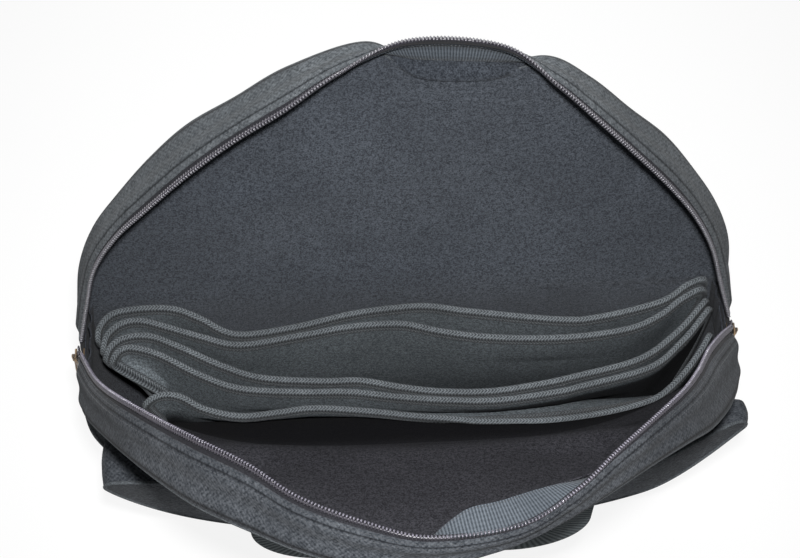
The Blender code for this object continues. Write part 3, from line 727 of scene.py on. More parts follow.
def disc_solid(name, outer, inner, uv, finish, crease=None):
    """A closed solid of two polar grids, with the small middle closed by a fan."""
    n, m = outer.shape[:2]
    middles = [outer[:, 0].mean(0), inner[:, 0].mean(0)]
    points = np.concatenate([outer.reshape(-1, 3), inner.reshape(-1, 3), middles])
    flat = np.concatenate([uv.reshape(-1, 2), uv.reshape(-1, 2), [[0, 0], [0, 0]]])
    shift = n * m
    faces = []
    for i in range(n):
        here, there = i * m, (i + 1) % n * m
        for j in range(m - 1):
            a, b, c, d = here + j, there + j, there + j + 1, here + j + 1
            faces += [(a, d, c, b), (a + shift, b + shift, c + shift, d + shift)]
        faces += [(2 * shift, here, there), (2 * shift + 1, there + shift, here + shift)]
        a, b = here + m - 1, there + m - 1
        faces.append((a, a + shift, b + shift, b))
    mesh = bpy.data.meshes.new(name)
    mesh.from_pydata(points.tolist(), [], faces)
    if crease is not None:
        crease = np.concatenate([crease.ravel(), crease.ravel(), [0.0, 0.0]])
    return finished(name, mesh, finish, flat[corner_points(mesh)], crease)


def flap_band(side, phi, depth):
    """The flap's side wall. depth runs in metres from the panel's face to the zip's middle line."""
    tables, step = rim_tables(side), 0.4
    at = 180 - np.asarray(phi, float)
    start, end = (along_table(table, at / 10) for table in tables)
    ahead = sum(along_table(table, (at + step) / 10) - along_table(table, (at - step) / 10) for table in tables)
    across = end - start
    out = unit(np.cross(unit(ahead), across)) * -side
    t = (np.asarray(depth, float) / HALF_DEPTH)[..., None]
    crown = 0.0035 * np.sin(math.pi * np.clip(t, 0, 1)) + 0.0012 * np.sin(math.tau * 2 * np.clip(t, 0, 1))
    return start + across * t + out * crown, out


def lower_band(phi, y):
    """The lower bag's side wall and its outward direction. y runs across the bag's depth."""
    turn = np.radians(phi)
    reach, hit = lower_reach(phi, RADIUS, 0.0)
    x, z = reach * np.cos(turn), CENTRE + reach * np.sin(turn)
    points, round_way = stacked(x, y, z), stacked(np.cos(turn), 0.0, np.sin(turn))
    out = np.where(hit[..., None], np.array([0.0, 0.0, -1.0]), round_way)
    for side in (-1, 1):
        share = np.clip(side * y / HALF_DEPTH, 0, 1) ** 2
        points = points + (rim_point(side, phi) - stacked(x, side * HALF_DEPTH, z)) * share[..., None]
    return points, out


def strip(name, where, phis, depths, levels, finish, keep=None, shade_lines=()):
    """A layer of a side wall. levels are its outer and inner depth below the wall's face; the lines given last are
    painted shade, each a place, width and strength.
    """
    phi, depth = np.meshgrid(phis, depths, indexing="ij")
    points, out = where(phi, depth)
    uv = stacked(run_lengths(points[:, len(depths) // 2])[:, None], depth)
    crease = np.zeros_like(depth)
    for place, wide, shade in shade_lines:
        crease = np.maximum(crease, shade * np.exp(-(((depth - place) / wide) ** 2)))
    return cells_solid(name, points - out * levels[0], points - out * levels[1], finish, uv, keep, crease=crease)


def spaced(points, pitch):
    """Even places along a run of points, as fractions of its index."""
    length = run_lengths(points)
    at = np.linspace(pitch / 2, length[-1] - pitch / 2, max(2, int(length[-1] / pitch)))
    return np.interp(at, length, np.arange(len(points)))


def picked(values, index):
    """A run's values at fractions of its index."""
    return np.stack([np.interp(index, np.arange(len(values)), column) for column in values.T], -1)


def row_on(where, phis, depth, level, pitch):
    """Evenly spaced points on a wall, their direction along the row and outwards."""
    phi = np.asarray(phis, float)
    points, out = where(phi, depth + 0 * phi)
    index = spaced(points, pitch)
    phi = np.interp(index, np.arange(len(phi)), phi)
    points, out = where(phi, depth + 0 * phi)
    along = unit(np.gradient(points, axis=0))
    return points - out * level, along, out


def lining_of(where):
    """The lined part of a flap's wall, which starts nearer to the piping where the wall lies back with the panel."""

    def lined(phi, share):
        start, _ = where(phi, LINING_START + 0 * share)
        corner, _ = where(phi, 0 * share)
        face = unit(corner - np.array([0.0, 0.0, CENTRE]))
        flat = smooth((np.abs(np.sum(unit(start - corner) * face, -1)) - 0.15) / 0.5)
        first = LINING_START - 0.0125 * flat
        points, out = where(phi, first + (LINING_END - first) * share)
        step = 0.0092 * flat * (1 - smooth(share / 0.5))
        return points - out * step[..., None], out

    return lined


def swollen(where):
    """The inner face of the front flap's wall: low at its right it swells into the bag beside the zip."""

    def share_at(phi):
        return smooth((95 - phi) / 11) * smooth((phi - 54) / 26)

    def tape_point(phi, depth):
        share, down = share_at(phi), COVER_END - depth
        points, out = where(phi, COVER_END - down * (1 - share) - 0.0020 * share * down / 0.025)
        level = unit(out * [1.0, 1.0, 0.0])
        return points - level * (share * down)[..., None]

    def lining_point(phi, part):
        share = share_at(phi)
        lower, out = lining_of(where)(phi, 0 * part)
        level = unit(out * [1.0, 1.0, 0.0])
        upper = where(phi, LINING_END + 0.0089 * share)[0] - level * (0.0225 * share)[..., None]
        bow = 0.006 * share * np.sin(math.pi * part)
        plain, _ = lining_of(where)(phi, part)
        curved = lower + (upper - lower) * part[..., None] - level * bow[..., None]
        return plain + (curved - plain) * smooth(share / 0.2)[..., None]

    def with_normals(point_at, step):
        def both(phi, depth):
            along = point_at(phi + 0.3, depth) - point_at(phi - 0.3, depth)
            out = unit(np.cross(along, point_at(phi, depth + step) - point_at(phi, depth - step)))
            plain = where(phi, 0.03 + 0 * depth)[1]
            turned = np.where(share_at(phi) < 0.05, np.sum(out * plain, -1), 0.0).sum()
            return point_at(phi, depth), out if turned > 0 else -out

        return both

    return with_normals(tape_point, 0.0004), with_normals(lining_point, 0.01)


def widened(where):
    """The rear wall's inner tape, which is broader under the top of the arch."""

    def point_at(phi, depth):
        broad = smooth((phi - 54) / 14) * smooth((126 - phi) / 14)
        return where(phi, COVER_END - (COVER_END - depth) * (1 + 0.38 * broad))

    return point_at


def stitches(name, points, along, out):
    return repeated(name, points, along, out, STITCH, FINISH["thread"])


def piping(name, path, out, body, node):
    """The cord in the seam between a panel and a wall."""
    cord = tube(name, path - out * CORD_DROP, CORD_RADIUS, out, FINISH["piping"], 12)
    settle(cord, body, [node])


# Flaps

FLAP_PHIS = np.linspace(179.7, 0.3, 260)


def flap_pieces(which, side):
    body = f"{which}_flap"

    def wall(phi, depth):
        return flap_band(side, phi, depth)

    def layer(part, node, where, depths, levels, finish, shade_lines=(), sewn=(), sewn_at=0.0):
        """A layer of the wall, with rows of stitches at the depths in sewn."""
        name = f"{which}_{part}"
        rows = [strip(name, where, FLAP_PHIS, depths, levels, finish, shade_lines=shade_lines)]
        for depth in sewn:
            rows.append(stitches(f"{name}_row", *row_on(where, FLAP_PHIS, depth, sewn_at, STITCH_PITCH)))
        settle(joined(name, rows) if sewn else rows[0], body, [f"{which}_{node}"])

    def beads(name, depth, level, size, finish):
        return repeated(name, *row_on(wall, FLAP_PHIS, depth, level, TOOTH_PITCH), size, finish)

    if side < 0:
        on_tape, on_lining = swollen(wall)
        # the front wall takes the darker copy of the cloth, painted shade
        cloth, loop, shade = "shaded_front_cloth", "loop", ()
    else:
        on_tape, on_lining = widened(wall), lining_of(wall)
        # the rear lining takes painted shade, strongest near the piping
        cloth, loop, shade = "cloth", "rear_loop", ((0.1, 0.7, 0.35),)
    depths = [np.linspace(0.0008, 0.0104, 9), np.linspace(0.012, 0.036, 12), np.linspace(0.0374, 0.0445, 8)]
    # The dark lines given here are painted shade: in the grooves beside the piping and the zip tape on the wall, and
    # under the zip tape on the inner tape.
    layer("flap_side", "flap_wall", wall, np.concatenate(depths), WALL_LEVELS, FINISH[cloth],
          ((0.0050, 0.0017, 0.85), (0.0392, 0.0009, 0.85)), (0.0425, 0.0365), -0.0001)
    layer("side_lining", "flap_wall_lining", on_lining, np.linspace(0, 1, 14), LINING_LEVELS,
          FINISH[f"{which}_lining"], shade)
    layer("seam_cover", "seam_tape", on_tape, np.linspace(0.0215, COVER_END, 10), COVER_LEVELS,
          FINISH["grosgrain"], ((0.0475, 0.0022, 0.85),), (0.0232, 0.0440), 0.00345)
    layer("zip_band", "zip_tape", wall, np.linspace(0.0350, 0.0528, 8), TAPE_LEVELS, FINISH["tape"])
    path, along, out = row_on(wall, FLAP_PHIS, 0.0508, 0.0, 0.004)
    core = tube(f"{which}_core", path, 0.0009, np.cross(out, along), FINISH["coil"], 8)
    teeth = beads(f"{which}_teeth", 0.0512, -0.0001, FLAP_TOOTH, FINISH["coil"])
    # the loop ends carry a painted glint
    loops = beads(f"{which}_loops", 0.0541, 0.0, FLAP_LOOP, FINISH[loop])
    settle(joined(f"{which}_zip_teeth", [core, teeth, loops]), body, [f"{which}_zip_coil"])
    phi = np.linspace(178.4, 1.6, 240)
    path, out = wall(phi, CORD_INSET + 0 * phi)
    piping(f"{which}_flap_cord", path, out, body, f"{which}_flap_piping")


def panel_pieces(which, side):
    pad = panel(f"{which}_shell", side, 0.0, 0.0064, PANEL_INSET, FINISH["cloth"])
    nodes = [f"{which}_flap_panel", f"{which}_flap_foam", f"{which}_lower_panel", f"{which}_lower_foam"]
    settle(pad, None, nodes)
    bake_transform(pad)
    # the front lining takes painted shadow in its fold, below the fifth divider's edge
    shadow_below = -0.030 if side < 0 else None
    lining = panel(f"{which}_lining", side, 0.0068, 0.0077, 0.0032, FINISH[f"{which}_lining"], shadow_below)
    settle(lining, None, [f"{which}_flap_lining", f"{which}_lower_lining"])
    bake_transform(lining)


for which, side in (("rear", 1), ("front", -1)):
    flap_pieces(which, side)
    panel_pieces(which, side)


# Lower bag


def lower_pieces():
    down = math.degrees(0.030 / RADIUS)
    left, right = np.linspace(180.15, 180 + down, 7), np.linspace(360 - down, 359.85, 7)
    run = np.concatenate([left, np.linspace(188, 352, 150), right])
    run = np.where(run > 270, run - 360, run)
    edge, mouth = HALF_DEPTH - 0.0034, 0.0105
    depths = np.concatenate([np.linspace(-edge, -mouth, 9), np.linspace(mouth, edge, 9)])
    keep = np.ones((len(run) - 1, len(depths) - 1), bool)
    keep[:6, 8] = keep[-6:, 8] = False
    wall = strip("lower_side", lower_band, run, depths, WALL_LEVELS, FINISH["cloth"], keep)
    settle(wall, "lower_bag", ["lower_wall"])
    depths = np.linspace(LINING_START - HALF_DEPTH, HALF_DEPTH - LINING_START, 14)
    lining = strip("lower_side_lining", lower_band, run, depths, LOWER_LINING_LEVELS, FINISH["lining"])
    settle(lining, "lower_bag", ["lower_wall_lining"])
    for which, side in (("rear", 1), ("front", -1)):
        path = rim_point(side, run[1:-1]) - [0.0, side * CORD_INSET, 0.0]
        _, out = lower_band(run[1:-1], side * HALF_DEPTH + 0 * run[1:-1])
        piping(f"{which}_lower_cord", path, out, "lower_bag", f"{which}_lower_piping")


def zip_feet():
    """The closed ends of the zip below each end of the mouth, with their tape, coils and stop."""
    downs = np.append(np.linspace(0.1, math.degrees(0.025 / RADIUS), 6), math.degrees(0.0296 / RADIUS))
    depths = np.array([-0.020, -0.012, -0.0022, 0.0022, 0.012, 0.020])
    keep = np.ones((6, 5), bool)
    keep[:5, 2] = False
    for which, start, way in (("left", 180, 1), ("right", 0, -1)):
        rows = [strip(f"{which}_tape", lower_band, start + way * downs, depths, TAPE_LEVELS, FINISH["tape"], keep)]
        for half in (-1, 1):
            row = row_on(lower_band, start + way * np.linspace(0.2, 5.5, 20), half * 0.0026, -0.0001, 0.0015)
            rows.append(repeated(f"{which}_teeth_{half}", *row, FOOT_TOOTH, FINISH["coil"]))
        row = row_on(lower_band, start + way * np.linspace(5.2, 5.7, 4), 0.0, -0.0004, 0.0024)
        stop = [values[:1] for values in row]
        rows.append(repeated(f"{which}_stop", *stop, FOOT_STOP, FINISH["metal"]))
        settle(joined(f"{which}_zip_foot", rows), "lower_bag", [f"{which}_zip_end"])


def gore_pieces():
    """The folded cloth inside each end of the mouth: two fans about the folds, drawn in to a waist."""
    reach, foot = 0.0436, 0.030
    ys = np.linspace(-reach, reach, 41)
    near = HALF_DEPTH - np.abs(ys)
    height = np.sqrt(np.maximum(0.053**2 - near**2, 0.0))
    tops = np.minimum(np.minimum(0.010, 0.002 + 0.25 * np.maximum(near - LINING_START, 0.0)), height)
    y, share = np.meshgrid(ys, np.linspace(0, 1, 14), indexing="ij")
    z = CENTRE - foot + (tops[:, None] + foot) * share
    pleat = np.abs(0.0026 * np.sin(y / reach * math.pi * 2.5) * share)
    for which, sign in (("left", -1), ("right", 1)):
        grid = stacked(sign * (RADIUS - 0.0090 - pleat), y, z)
        fan = cells_solid(f"{which}_fan", grid, grid - [sign * 0.0010, 0, 0], FINISH["lining"], grid[..., 1:])
        settle(fan, "lower_bag", [f"{which}_gore"])


lower_pieces()
zip_feet()
gore_pieces()


# Dividers


CORNER_HEIGHT = DIVIDER_TOP - DIVIDER_CORNER
CORNER_X = math.sqrt((DIVIDER_RADIUS - DIVIDER_CORNER) ** 2 - (CORNER_HEIGHT - CENTRE) ** 2)

# How far each divider keeps from the front lining, and how far its left edge is drawn in
CLEAR_OF_FRONT = {1: 0.060, 2: 0.048, 3: 0.0150, 4: 0.0090, 5: 0.0034}
DRAWN_IN = {1: 0.004, 2: 0.012, 3: 0.026, 4: 0.040, 5: 0.006}

# The folded binding: its gap to the sheet, its thickness and how far it reaches down
BINDING_GAP, BINDING_THICK, BINDING_DEPTH = 0.0003, 0.0007, 0.0095


def half_width(z):
    """Half the width of a divider's cut at a height, with its rounded upper corners."""
    z = np.asarray(z, float)
    side = np.sqrt(np.maximum(DIVIDER_RADIUS**2 - (CENTRE - z) ** 2, 0))
    over = np.clip(z - CORNER_HEIGHT, 0, DIVIDER_CORNER)
    turned = CORNER_X + np.sqrt(np.maximum(DIVIDER_CORNER**2 - over**2, 0))
    return np.where(z > CORNER_HEIGHT, np.minimum(side, turned), side)


def front_limit(x, z):
    """The inner face of the front lining, in depth."""

    def face(height):
        out, _ = bend(height - CENTRE, FRONT_LEAN)
        return -HALF_DEPTH - out - front_belly(x, height - CENTRE)

    slope = (face(z + 0.001) - face(z - 0.001)) / 0.002
    return face(z) + 0.0112 * np.sqrt(1 + slope**2) - 0.0032


def soft_max(a, b, width=0.003):
    return 0.5 * (a + b + np.sqrt((a - b) ** 2 + width**2))


def divider_surface(number, x, z):
    """Where a point of the flat cut goes: the foot stays straight, and the top edge takes its wave."""
    place, tops, drawn = DIVIDER_PLACES[number - 1], DIVIDER_TOPS[number], DRAWN_IN[number]
    ends = run_lengths(np.asarray(tops, float))
    share = np.clip((x / DIVIDER_RADIUS + 1) / 2, 0, 1)
    top = along_table(tops, np.interp(share * ends[-1], ends, np.arange(len(tops))))
    weight = smooth(np.clip((z - 0.05) / (DIVIDER_TOP - 0.05), 0, 1)) + 0 * x
    squeeze = half_width(np.minimum(z, CORNER_HEIGHT)) / half_width(CORNER_HEIGHT)
    px = x * (1 - weight) + top[..., 0] * np.where(z < CORNER_HEIGHT, squeeze, 1.0) * weight
    py = place * (1 - weight) + top[..., 1] * weight
    pz = z + (top[..., 2] - DIVIDER_TOP) * weight * np.clip((z - 0.1) / (DIVIDER_TOP - 0.1), 0, 1)
    low = np.clip((0.262 - z) / 0.04, 0, 1) * np.clip((z - 0.10) / 0.09, 0, 1)
    curl = smooth((-x / DIVIDER_RADIUS - 0.80) / 0.20) * smooth(low)
    px = px + drawn * curl
    py = py - (0.45 * drawn if number < 5 else 0.0) * curl
    py = soft_max(py, front_limit(px, pz) + CLEAR_OF_FRONT[number])
    back = 0.0445 if number == 1 else 0.0380
    lean = np.maximum(pz - CENTRE, 0) * math.tan(math.radians(REAR_LEAN))
    return stacked(px, -soft_max(-py, -(back + lean)), pz)


def divider_point(number, x, z, level):
    """A point off the sheet's middle by level, and the sheet's normal there."""
    step = 0.0008
    across = divider_surface(number, x + step, z) - divider_surface(number, x - step, z)
    rise = divider_surface(number, x, z + step) - divider_surface(number, x, z - step)
    normal = unit(np.cross(across, rise))
    return divider_surface(number, x, z) + normal * np.asarray(level)[..., None], normal


def divider_edge(inset):
    """The bound part of a divider's cut edge, from the left side over the top to the right side."""
    radius, corner = DIVIDER_RADIUS - inset, DIVIDER_CORNER - inset
    meet = math.atan2(CORNER_HEIGHT - CENTRE, CORNER_X)
    side_turn = np.linspace(math.asin((DIVIDER_TOP - 0.085 - CENTRE) / radius), meet, 24)
    side = stacked(radius * np.cos(side_turn), CENTRE + radius * np.sin(side_turn))
    turn = np.linspace(meet, math.pi / 2, 9)[1:]
    curve = stacked(CORNER_X + corner * np.cos(turn), CORNER_HEIGHT + corner * np.sin(turn))
    half = np.concatenate([side, curve])
    top = stacked(np.linspace(CORNER_X, -CORNER_X, 200)[1:-1], DIVIDER_TOP - inset)
    return np.concatenate([half, top, half[::-1] * [-1, 1]])[::-1]


def shade_of(number, x, z):
    """Painted shade on a sheet's cloth: low down where it lies deep between its neighbours, below the fifth sheet's
    top, and just below the fourth sheet's top on its right.
    """
    if number == 5:
        return 0.97 * (1 - smooth((z - 0.216) / 0.034))
    deep = 0.45 * (1 - smooth((z - 0.12) / 0.08))
    if number == 4:
        deep = np.maximum(deep, 0.95 * (1 - smooth((z - 0.254) / 0.009)) * smooth((x + 0.02) / 0.08))
    return deep


def divider_pieces(number):
    body = f"divider_{number}"
    over = CORNER_HEIGHT + DIVIDER_CORNER * np.sin(np.linspace(0, math.pi / 2, 8))[1:]
    heights = np.concatenate([np.linspace(DIVIDER_FOOT, 0.20, 30), np.linspace(0.205, CORNER_HEIGHT, 12), over])
    widest = math.pi / 2 * 0.9
    shares = np.sin(np.linspace(-1, 1, 150) * widest) / math.sin(widest)
    share, z = np.meshgrid(shares, heights, indexing="ij")
    x = share * half_width(z)
    half = DIVIDER_THICK / 2
    outer, inner = (divider_point(number, x, z, level)[0] for level in (half, -half))
    # dark holds the sheet's painted shade
    dark = shade_of(number, x, z)
    sheet = cells_solid(f"divider_sheet_{number}", outer, inner, FINISH["divider"], stacked(x, z), crease=dark)
    settle(sheet, body, [f"divider_{number}"])

    # the binding's section: down one face, round the edge and down the other face
    inner_half, outer_half = half + BINDING_GAP, half + BINDING_GAP + BINDING_THICK
    turn = np.linspace(-math.pi / 2, math.pi / 2, 7)
    arm = BINDING_DEPTH * np.array([1.0, 0.66, 0.33])
    insets = np.concatenate([arm, -np.cos(turn) * BINDING_THICK * 1.4, arm[::-1]])
    levels = np.concatenate([np.full(3, -outer_half), outer_half * np.sin(turn), np.full(3, outer_half)])
    across = np.concatenate([arm, -outer_half * turn, -arm[::-1]])
    # painted shade on the binding: dark at its lower edges and below its fold, none over the rounded top
    edge_shade = np.array([0.55, 0.05, 0.70, *np.zeros(len(turn)), 0.70, 0.05, 0.55])

    def folded(insets, levels):
        flat = np.stack([divider_edge(inset) for inset in insets], 1)
        return divider_point(number, flat[..., 0], flat[..., 1], levels)[0]

    outer = folded(insets, levels)
    inner = folded(np.where(insets > 0, insets, insets * 0.25), np.clip(levels, -inner_half, inner_half))
    uv = stacked(run_lengths(outer[:, len(insets) // 2])[:, None], across)
    edge_shade = np.broadcast_to(edge_shade, uv.shape[:2])
    rows = [cells_solid(f"divider_tape_{number}", outer, inner, FINISH["binding"], uv, crease=edge_shade)]
    path = divider_edge(BINDING_DEPTH - 0.0012)
    for way in (-1, 1):
        points, normal = divider_point(number, path[:, 0], path[:, 1], way * (outer_half + 0.0001))
        index = spaced(points, 0.0036)
        points, normal = picked(points, index), picked(normal, index) * way
        rows.append(stitches(f"divider_{number}_row_{way}", points, unit(np.gradient(points, axis=0)), normal))
    settle(joined(f"divider_edge_{number}", rows), body, [f"divider_{number}_binding"])


for number in DIVIDER_TOPS:
    divider_pieces(number)


# Accessory pocket

POCKET_BACK = -0.0554
POCKET_FRONT = -0.103
POCKET_TOP = 0.2125
POCKET_ZIP_LEVEL = -0.085
POCKET_RADIUS = 0.2835
POCKET_CORNER = 0.016
POCKET_FLOOR = 0.012
POCKET_FOOT = 0.014
POCKET_MIDDLE = np.array([0.0, 0.12])

# The point of the pocket's edge where its zip ends
ZIP_END = 59


def pocket_front(z):
    """How far forward the pocket's face stands at a height."""
    foot = -HALF_DEPTH - POCKET_FOOT
    return foot + (POCKET_FRONT - foot) * (z - POCKET_FLOOR) / (POCKET_TOP - POCKET_FLOOR)


def pocket_ears(points):
    """The pocket's upper corners stand out past its zip, the right one further than the left."""
    high = smooth((points[..., 2] - 0.09) / 0.10)
    forward = np.clip((POCKET_BACK - points[..., 1]) / (POCKET_BACK - POCKET_FRONT), 0, 1)
    for sign, reach, drawn_back in ((1, 0.034, 0.026), (-1, 0.006, 0.0)):
        beyond = smooth((sign * points[..., 0] - 0.215) / 0.055) * high
        points = points + beyond[..., None] * stacked(sign * reach, drawn_back * forward, 0.8 * reach)
    return points


def pocket_edge(inset=0.0):
    """The pocket's closed edge, from the middle of its top round to the right, with its zip's ends as corners."""
    centre_x = math.sqrt((POCKET_RADIUS - POCKET_CORNER) ** 2 - (CENTRE - POCKET_TOP + POCKET_CORNER) ** 2)
    centre_z = POCKET_TOP - POCKET_CORNER
    radius, corner = POCKET_RADIUS - inset, POCKET_CORNER - inset
    zip_half = centre_x - 0.0196
    top = np.concatenate([np.linspace(0, zip_half, ZIP_END + 1), np.linspace(zip_half, centre_x, 6)[1:]])
    meet = math.atan2(centre_z - CENTRE, centre_x)
    foot = math.acos((CENTRE - POCKET_FLOOR - inset) / radius) - math.pi / 2
    turn, fall = np.linspace(math.pi / 2, meet, 9)[1:], np.linspace(meet, foot, 60)[1:]
    side = stacked(radius * np.cos(fall), CENTRE + radius * np.sin(fall))
    half = np.concatenate([
        stacked(top, POCKET_TOP - inset),
        stacked(centre_x + corner * np.cos(turn), centre_z + corner * np.sin(turn)),
        side,
        stacked(np.linspace(side[-1, 0], 0, 16)[1:], POCKET_FLOOR + inset),
    ])
    return np.concatenate([half, (half[1:-1] * [-1, 1])[::-1]])


def pocket_wall():
    edge = pocket_edge()
    near, far, front = POCKET_ZIP_LEVEL - 0.0062, POCKET_ZIP_LEVEL + 0.0062, POCKET_FRONT + 0.0016
    ys = np.concatenate([np.linspace(POCKET_BACK, far, 8), np.linspace(near, front, 3)])
    bulge = 0.0022 * np.sin(math.pi * (ys - POCKET_BACK) / (POCKET_FRONT - POCKET_BACK))
    on_top = (edge[:, 1] > POCKET_TOP - 0.001) | (edge[:, 1] < POCKET_FLOOR + 0.001)
    amount = np.where(on_top, 0.0, 1.0)
    for _ in range(6):
        amount = (np.roll(amount, 1) + amount + np.roll(amount, -1)) / 3
    swell = unit(edge - POCKET_MIDDLE)[:, None] * (bulge * amount[:, None])[..., None]

    def face(line):
        flat = line[:, None] + swell
        reach = (pocket_front(line[:, 1]) + 0.0016 - POCKET_BACK) / (front - POCKET_BACK)
        y = POCKET_BACK + (ys - POCKET_BACK) * reach[:, None]
        return pocket_ears(stacked(flat[..., 0], y, flat[..., 1]))

    keep = np.ones((len(edge), len(ys) - 1), bool)
    keep[:ZIP_END, 7] = keep[-ZIP_END:, 7] = False
    uv = stacked(run_lengths(edge)[:, None], ys)
    outer, inner = face(edge), face(pocket_edge(0.0012))
    wall = cells_solid("pocket_side", outer, inner, FINISH["shaded_front_cloth"], uv, keep, loop=True)
    settle(wall, "lower_bag", ["pocket_wall"])


def pocket_face():
    shares = np.concatenate([np.linspace(0.01, 0.9, 24), np.linspace(0.92, 1.0, 7)])
    rim = np.roll(pocket_edge(0.0010)[::-1], 1, 0)
    grid = POCKET_MIDDLE + (rim - POCKET_MIDDLE)[:, None] * shares[:, None]
    x, z = grid[..., 0], grid[..., 1]
    crown = 0.0060 * (1 - shares**3) + 0.0006 * np.sin(x * 40) * np.sin(z * 31) * (1 - shares**4)
    face = pocket_ears(stacked(x, pocket_front(z) - crown, z))
    shell = disc_solid("pocket_face", face, face + [0.0, 0.0012, 0.0], grid, FINISH["shaded_front_cloth"])
    path = pocket_ears(stacked(rim[:, 0], pocket_front(rim[:, 1]) + 0.0004, rim[:, 1]))
    way = unit(rim - POCKET_MIDDLE)
    cord = tube("pocket_cord", path, 0.0017, stacked(way[:, 0], 0.0, way[:, 1]), FINISH["piping"], 10, loop=True)
    settle(joined("pocket_face", [shell, cord]), "lower_bag", ["pocket_panel"])


def pocket_zip():
    half = pocket_edge()[ZIP_END, 0]
    xs = np.concatenate([[-half - 0.005], np.linspace(-half + 0.005, half - 0.005, 60), [half + 0.005]])
    ys = POCKET_ZIP_LEVEL + np.array([-0.012, -0.006, -0.0022, 0.0022, 0.006, 0.012])
    x, y = np.meshgrid(xs, ys, indexing="ij")
    top = stacked(x, y, POCKET_TOP - 0.0015)
    keep = np.ones((len(xs) - 1, 5), bool)
    keep[1:-1, 2] = False
    tape = cells_solid("pocket_band", top, top - [0, 0, 0.0008], FINISH["tape"], stacked(x, y), keep)
    settle(tape, "lower_bag", ["pocket_zip_tape"])
    at = np.arange(-half + 0.002, half - 0.002, TOOTH_PITCH)
    along, up = np.tile([1.0, 0, 0], (len(at), 1)), np.tile([0, 0, 1.0], (len(at), 1))
    rows = []
    for way in (-1, 1):
        points = stacked(at, POCKET_ZIP_LEVEL + way * 0.0026, POCKET_TOP)
        rows.append(repeated(f"pocket_teeth_{way}", points, along, up, POCKET_TOOTH, FINISH["coil"]))
    settle(joined("pocket_teeth", rows), "lower_bag", ["pocket_zip_coil"])


pocket_wall()
pocket_face()
pocket_zip()


# Handles and their anchors


def anchor_pieces(which, side):
    """The handle's two anchors, each a folded end of webbing with a box of stitches."""
    base, up, face = flap_axes(side)

    def on_panel(x, s):
        """The panel's outer face at a place of its flat plane."""
        x_at, s_at = x, s
        for _ in range(8):
            phi = np.degrees(np.arctan2(s_at, x_at))
            reach = lower_reach(phi, RADIUS - PANEL_INSET, PANEL_INSET)[0]
            point, _ = panel_surface(side, phi, np.minimum(np.hypot(x_at, s_at) / reach, 1.0), PANEL_INSET)
            x_at, s_at = x_at + x - point[..., 0], s_at + s - (point - base) @ up
        return point

    low, high, wide = 0.1720, 0.2190, 0.0145
    box = np.array([(-wide, low), (wide, low), (wide, high), (-wide, high)])
    rise, share = np.meshgrid(np.linspace(0.1654, 0.2254, 16), WEBBING_SHARES, indexing="ij")
    across = WEBBING_WIDTH * share
    half = np.where(np.abs(share) > 0.48, 0.0007, 0.0011)[..., None]
    for name, x in (("left", -HANDLE_HALF), ("right", HANDLE_HALF)):
        under = on_panel(x + across, rise)
        outer, inner = under + (0.0017 + half) * face, under + (0.0017 - half) * face
        rows = [cells_solid(f"{which}_patch", outer, inner, FINISH["webbing"], stacked(rise, across))]
        for first, last in ((0, 1), (1, 2), (2, 3), (3, 0), (0, 2), (1, 3)):
            way = box[last] - box[first]
            count = max(2, int(np.linalg.norm(way) / STITCH_PITCH))
            flat = box[first] + way * ((np.arange(count) + 0.5)[:, None] / count)
            points = on_panel(x + flat[:, 0], flat[:, 1]) + 0.0029 * face
            ahead = unit(way[0] * np.array([1.0, 0, 0]) + way[1] * up)
            rows.append(stitches(f"{which}_box", points, np.tile(ahead, (count, 1)), np.tile(face, (count, 1))))
        settle(joined(f"{which}_strap_patch_{name}", rows), f"{which}_flap", [f"{which}_anchor_{name}"])


def handle_loop(which, side):
    """The handle's strap, which hangs from its pivot line."""
    drop, corner = (0.142, 0.046) if side < 0 else (0.130, 0.060)
    straight = HANDLE_HALF - corner
    turn = np.linspace(0, math.pi / 2, 24)[1:]
    leg = stacked(HANDLE_HALF, np.linspace(0.0012, drop - corner, 24))
    half = np.concatenate([leg, stacked(straight + corner * np.cos(turn), drop - corner + corner * np.sin(turn))])
    bottom = stacked(np.linspace(straight, -straight, 24)[1:-1], drop)
    path = np.concatenate([half, bottom, (half * [-1, 1])[::-1]])
    ahead = unit(np.gradient(path, axis=0))
    base, up, face = flap_axes(side)
    pivot = base + HANDLE_PIVOT * up + 0.0043 * face
    points = pivot + stacked(path[:, 0], 0.0, -path[:, 1])
    across = stacked(ahead[:, 1], 0.0, ahead[:, 0])
    width = WEBBING_SHARES * WEBBING_WIDTH
    middle = points[:, None] + across[:, None] * width[:, None]
    thick = 0.0022 * np.array([0.30, 0.5, 0.5, 0.5, 0.5, 0.5, 0.30])
    away = thick[:, None] * np.array([0.0, float(side), 0.0])
    uv = stacked(run_lengths(points)[:, None], width)
    strap = cells_solid(f"{which}_strap", middle + away, middle - away, FINISH["webbing"], uv)
    settle(strap, f"{which}_handle", [f"{which}_handle"])


for which, side in (("rear", 1), ("front", -1)):
    anchor_pieces(which, side)
    handle_loop(which, side)


# The sliders and pulls keep their modelled shape
for name, obj in frame["nodes"].items():
    if name.endswith("_slider") or name.endswith("_pull"):
        for slot in obj.material_slots:
            slot.material = FINISH["metal"]


# Stage, light and camera


WHITE = (1.0, 1.0, 1.0, 1.0)


def show_white(t, lit, kind, strength, share, output):
    """Shows white by its share, in place of what the light sees."""
    white, mix = t.node(kind), t.node("ShaderNodeMixShader")
    t.fill(white.inputs, {"Color": WHITE, "Strength": strength})
    t.put(share, mix.inputs[0])
    t.put(lit.outputs[0], mix.inputs[1])
    t.put(white.outputs[0], mix.inputs[2])
    t.put(mix.outputs[0], output.inputs[0])


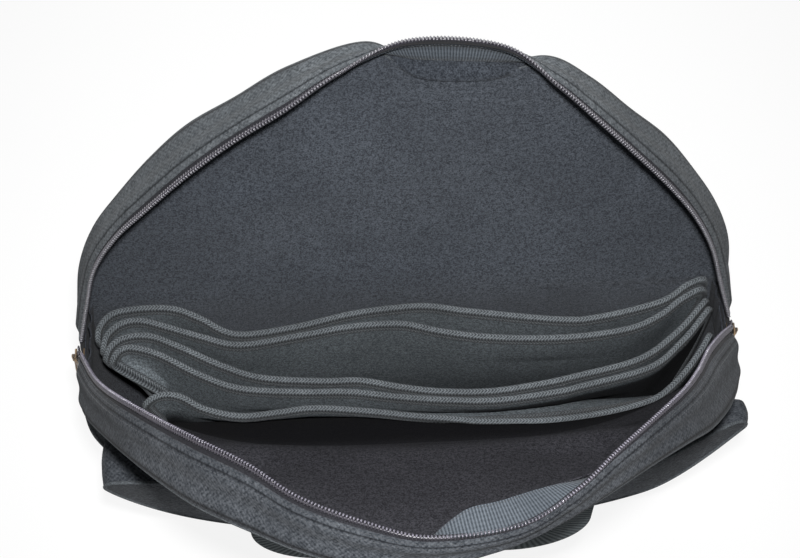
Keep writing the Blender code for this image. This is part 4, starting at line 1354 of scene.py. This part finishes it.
def stage():
    mesh = bpy.data.meshes.new("floor")
    mesh.from_pydata([(-6, -6, 0), (6, -6, 0), (6, 6, 0), (-6, 6, 0)], [], [(0, 1, 2, 3)])
    floor = new_object("floor", mesh)
    made, t, shader = new_finish("pale_floor")
    t.fill(shader, {"Base Color": (0.80, 0.80, 0.80, 1.0), "Roughness": 0.9})
    nodes = made.node_tree.nodes
    share = t.math("MULTIPLY", t.shows_backdrop(), 0.86)
    show_white(t, nodes["Principled BSDF"], "ShaderNodeEmission", 1.02, share, nodes["Material Output"])
    mesh.materials.append(made)


def placed(name, data, right, up, back, where):
    """A lamp or camera, turned by three directions."""
    obj = bpy.data.objects.new(name, data)
    bpy.context.scene.collection.objects.link(obj)
    obj.matrix_world = Matrix([(right[i], up[i], back[i], where[i]) for i in range(3)] + [(0, 0, 0, 1)])
    return obj


def light(name, kind, location, target, size, power):
    data = bpy.data.lights.new(name, kind)
    if kind == "SPOT":
        data.spot_size, data.spot_blend, data.shadow_soft_size = math.radians(37), 1.0, size
    else:
        data.shape, data.size = "DISK", size
    data.energy = power
    back = unit(np.subtract(location, target))
    right = unit(np.cross([0, 0, 1.0], back))
    placed(name, data, right, np.cross(back, right), back, location)


def camera():
    data = bpy.data.cameras.new("camera")
    data.sensor_fit, data.sensor_width, data.lens = "HORIZONTAL", 36.0, 90.72
    data.clip_start, data.clip_end = 0.05, 50.0
    right, up = (0.997897, -0.059309, 0.026168), (0.038351, 0.865571, 0.499315)
    back, where = (-0.05226, -0.49726, 0.86603), (-0.09925, -0.85059, 1.86257)
    bpy.context.scene.camera = placed("camera", data, right, up, back, where)


def world():
    made = bpy.data.worlds.new("studio")
    bpy.context.scene.world = made
    made.use_nodes = True
    t, nodes = Tree(made.node_tree), made.node_tree.nodes
    t.fill(nodes["Background"].inputs, {"Color": WHITE, "Strength": 0.13})
    show_white(t, nodes["Background"], "ShaderNodeBackground", 1.0, t.shows_backdrop(), nodes["World Output"])


stage()
light("key", "SPOT", (-0.07, -0.76, 1.94), (0.0, -0.02, 0.33), 0.05, 205)
light("back", "AREA", (-0.1, 1.5, 1.5), (0.0, 0.0, 0.3), 0.9, 14)
camera()
world()
bpy.context.scene.view_settings.view_transform = "Standard"
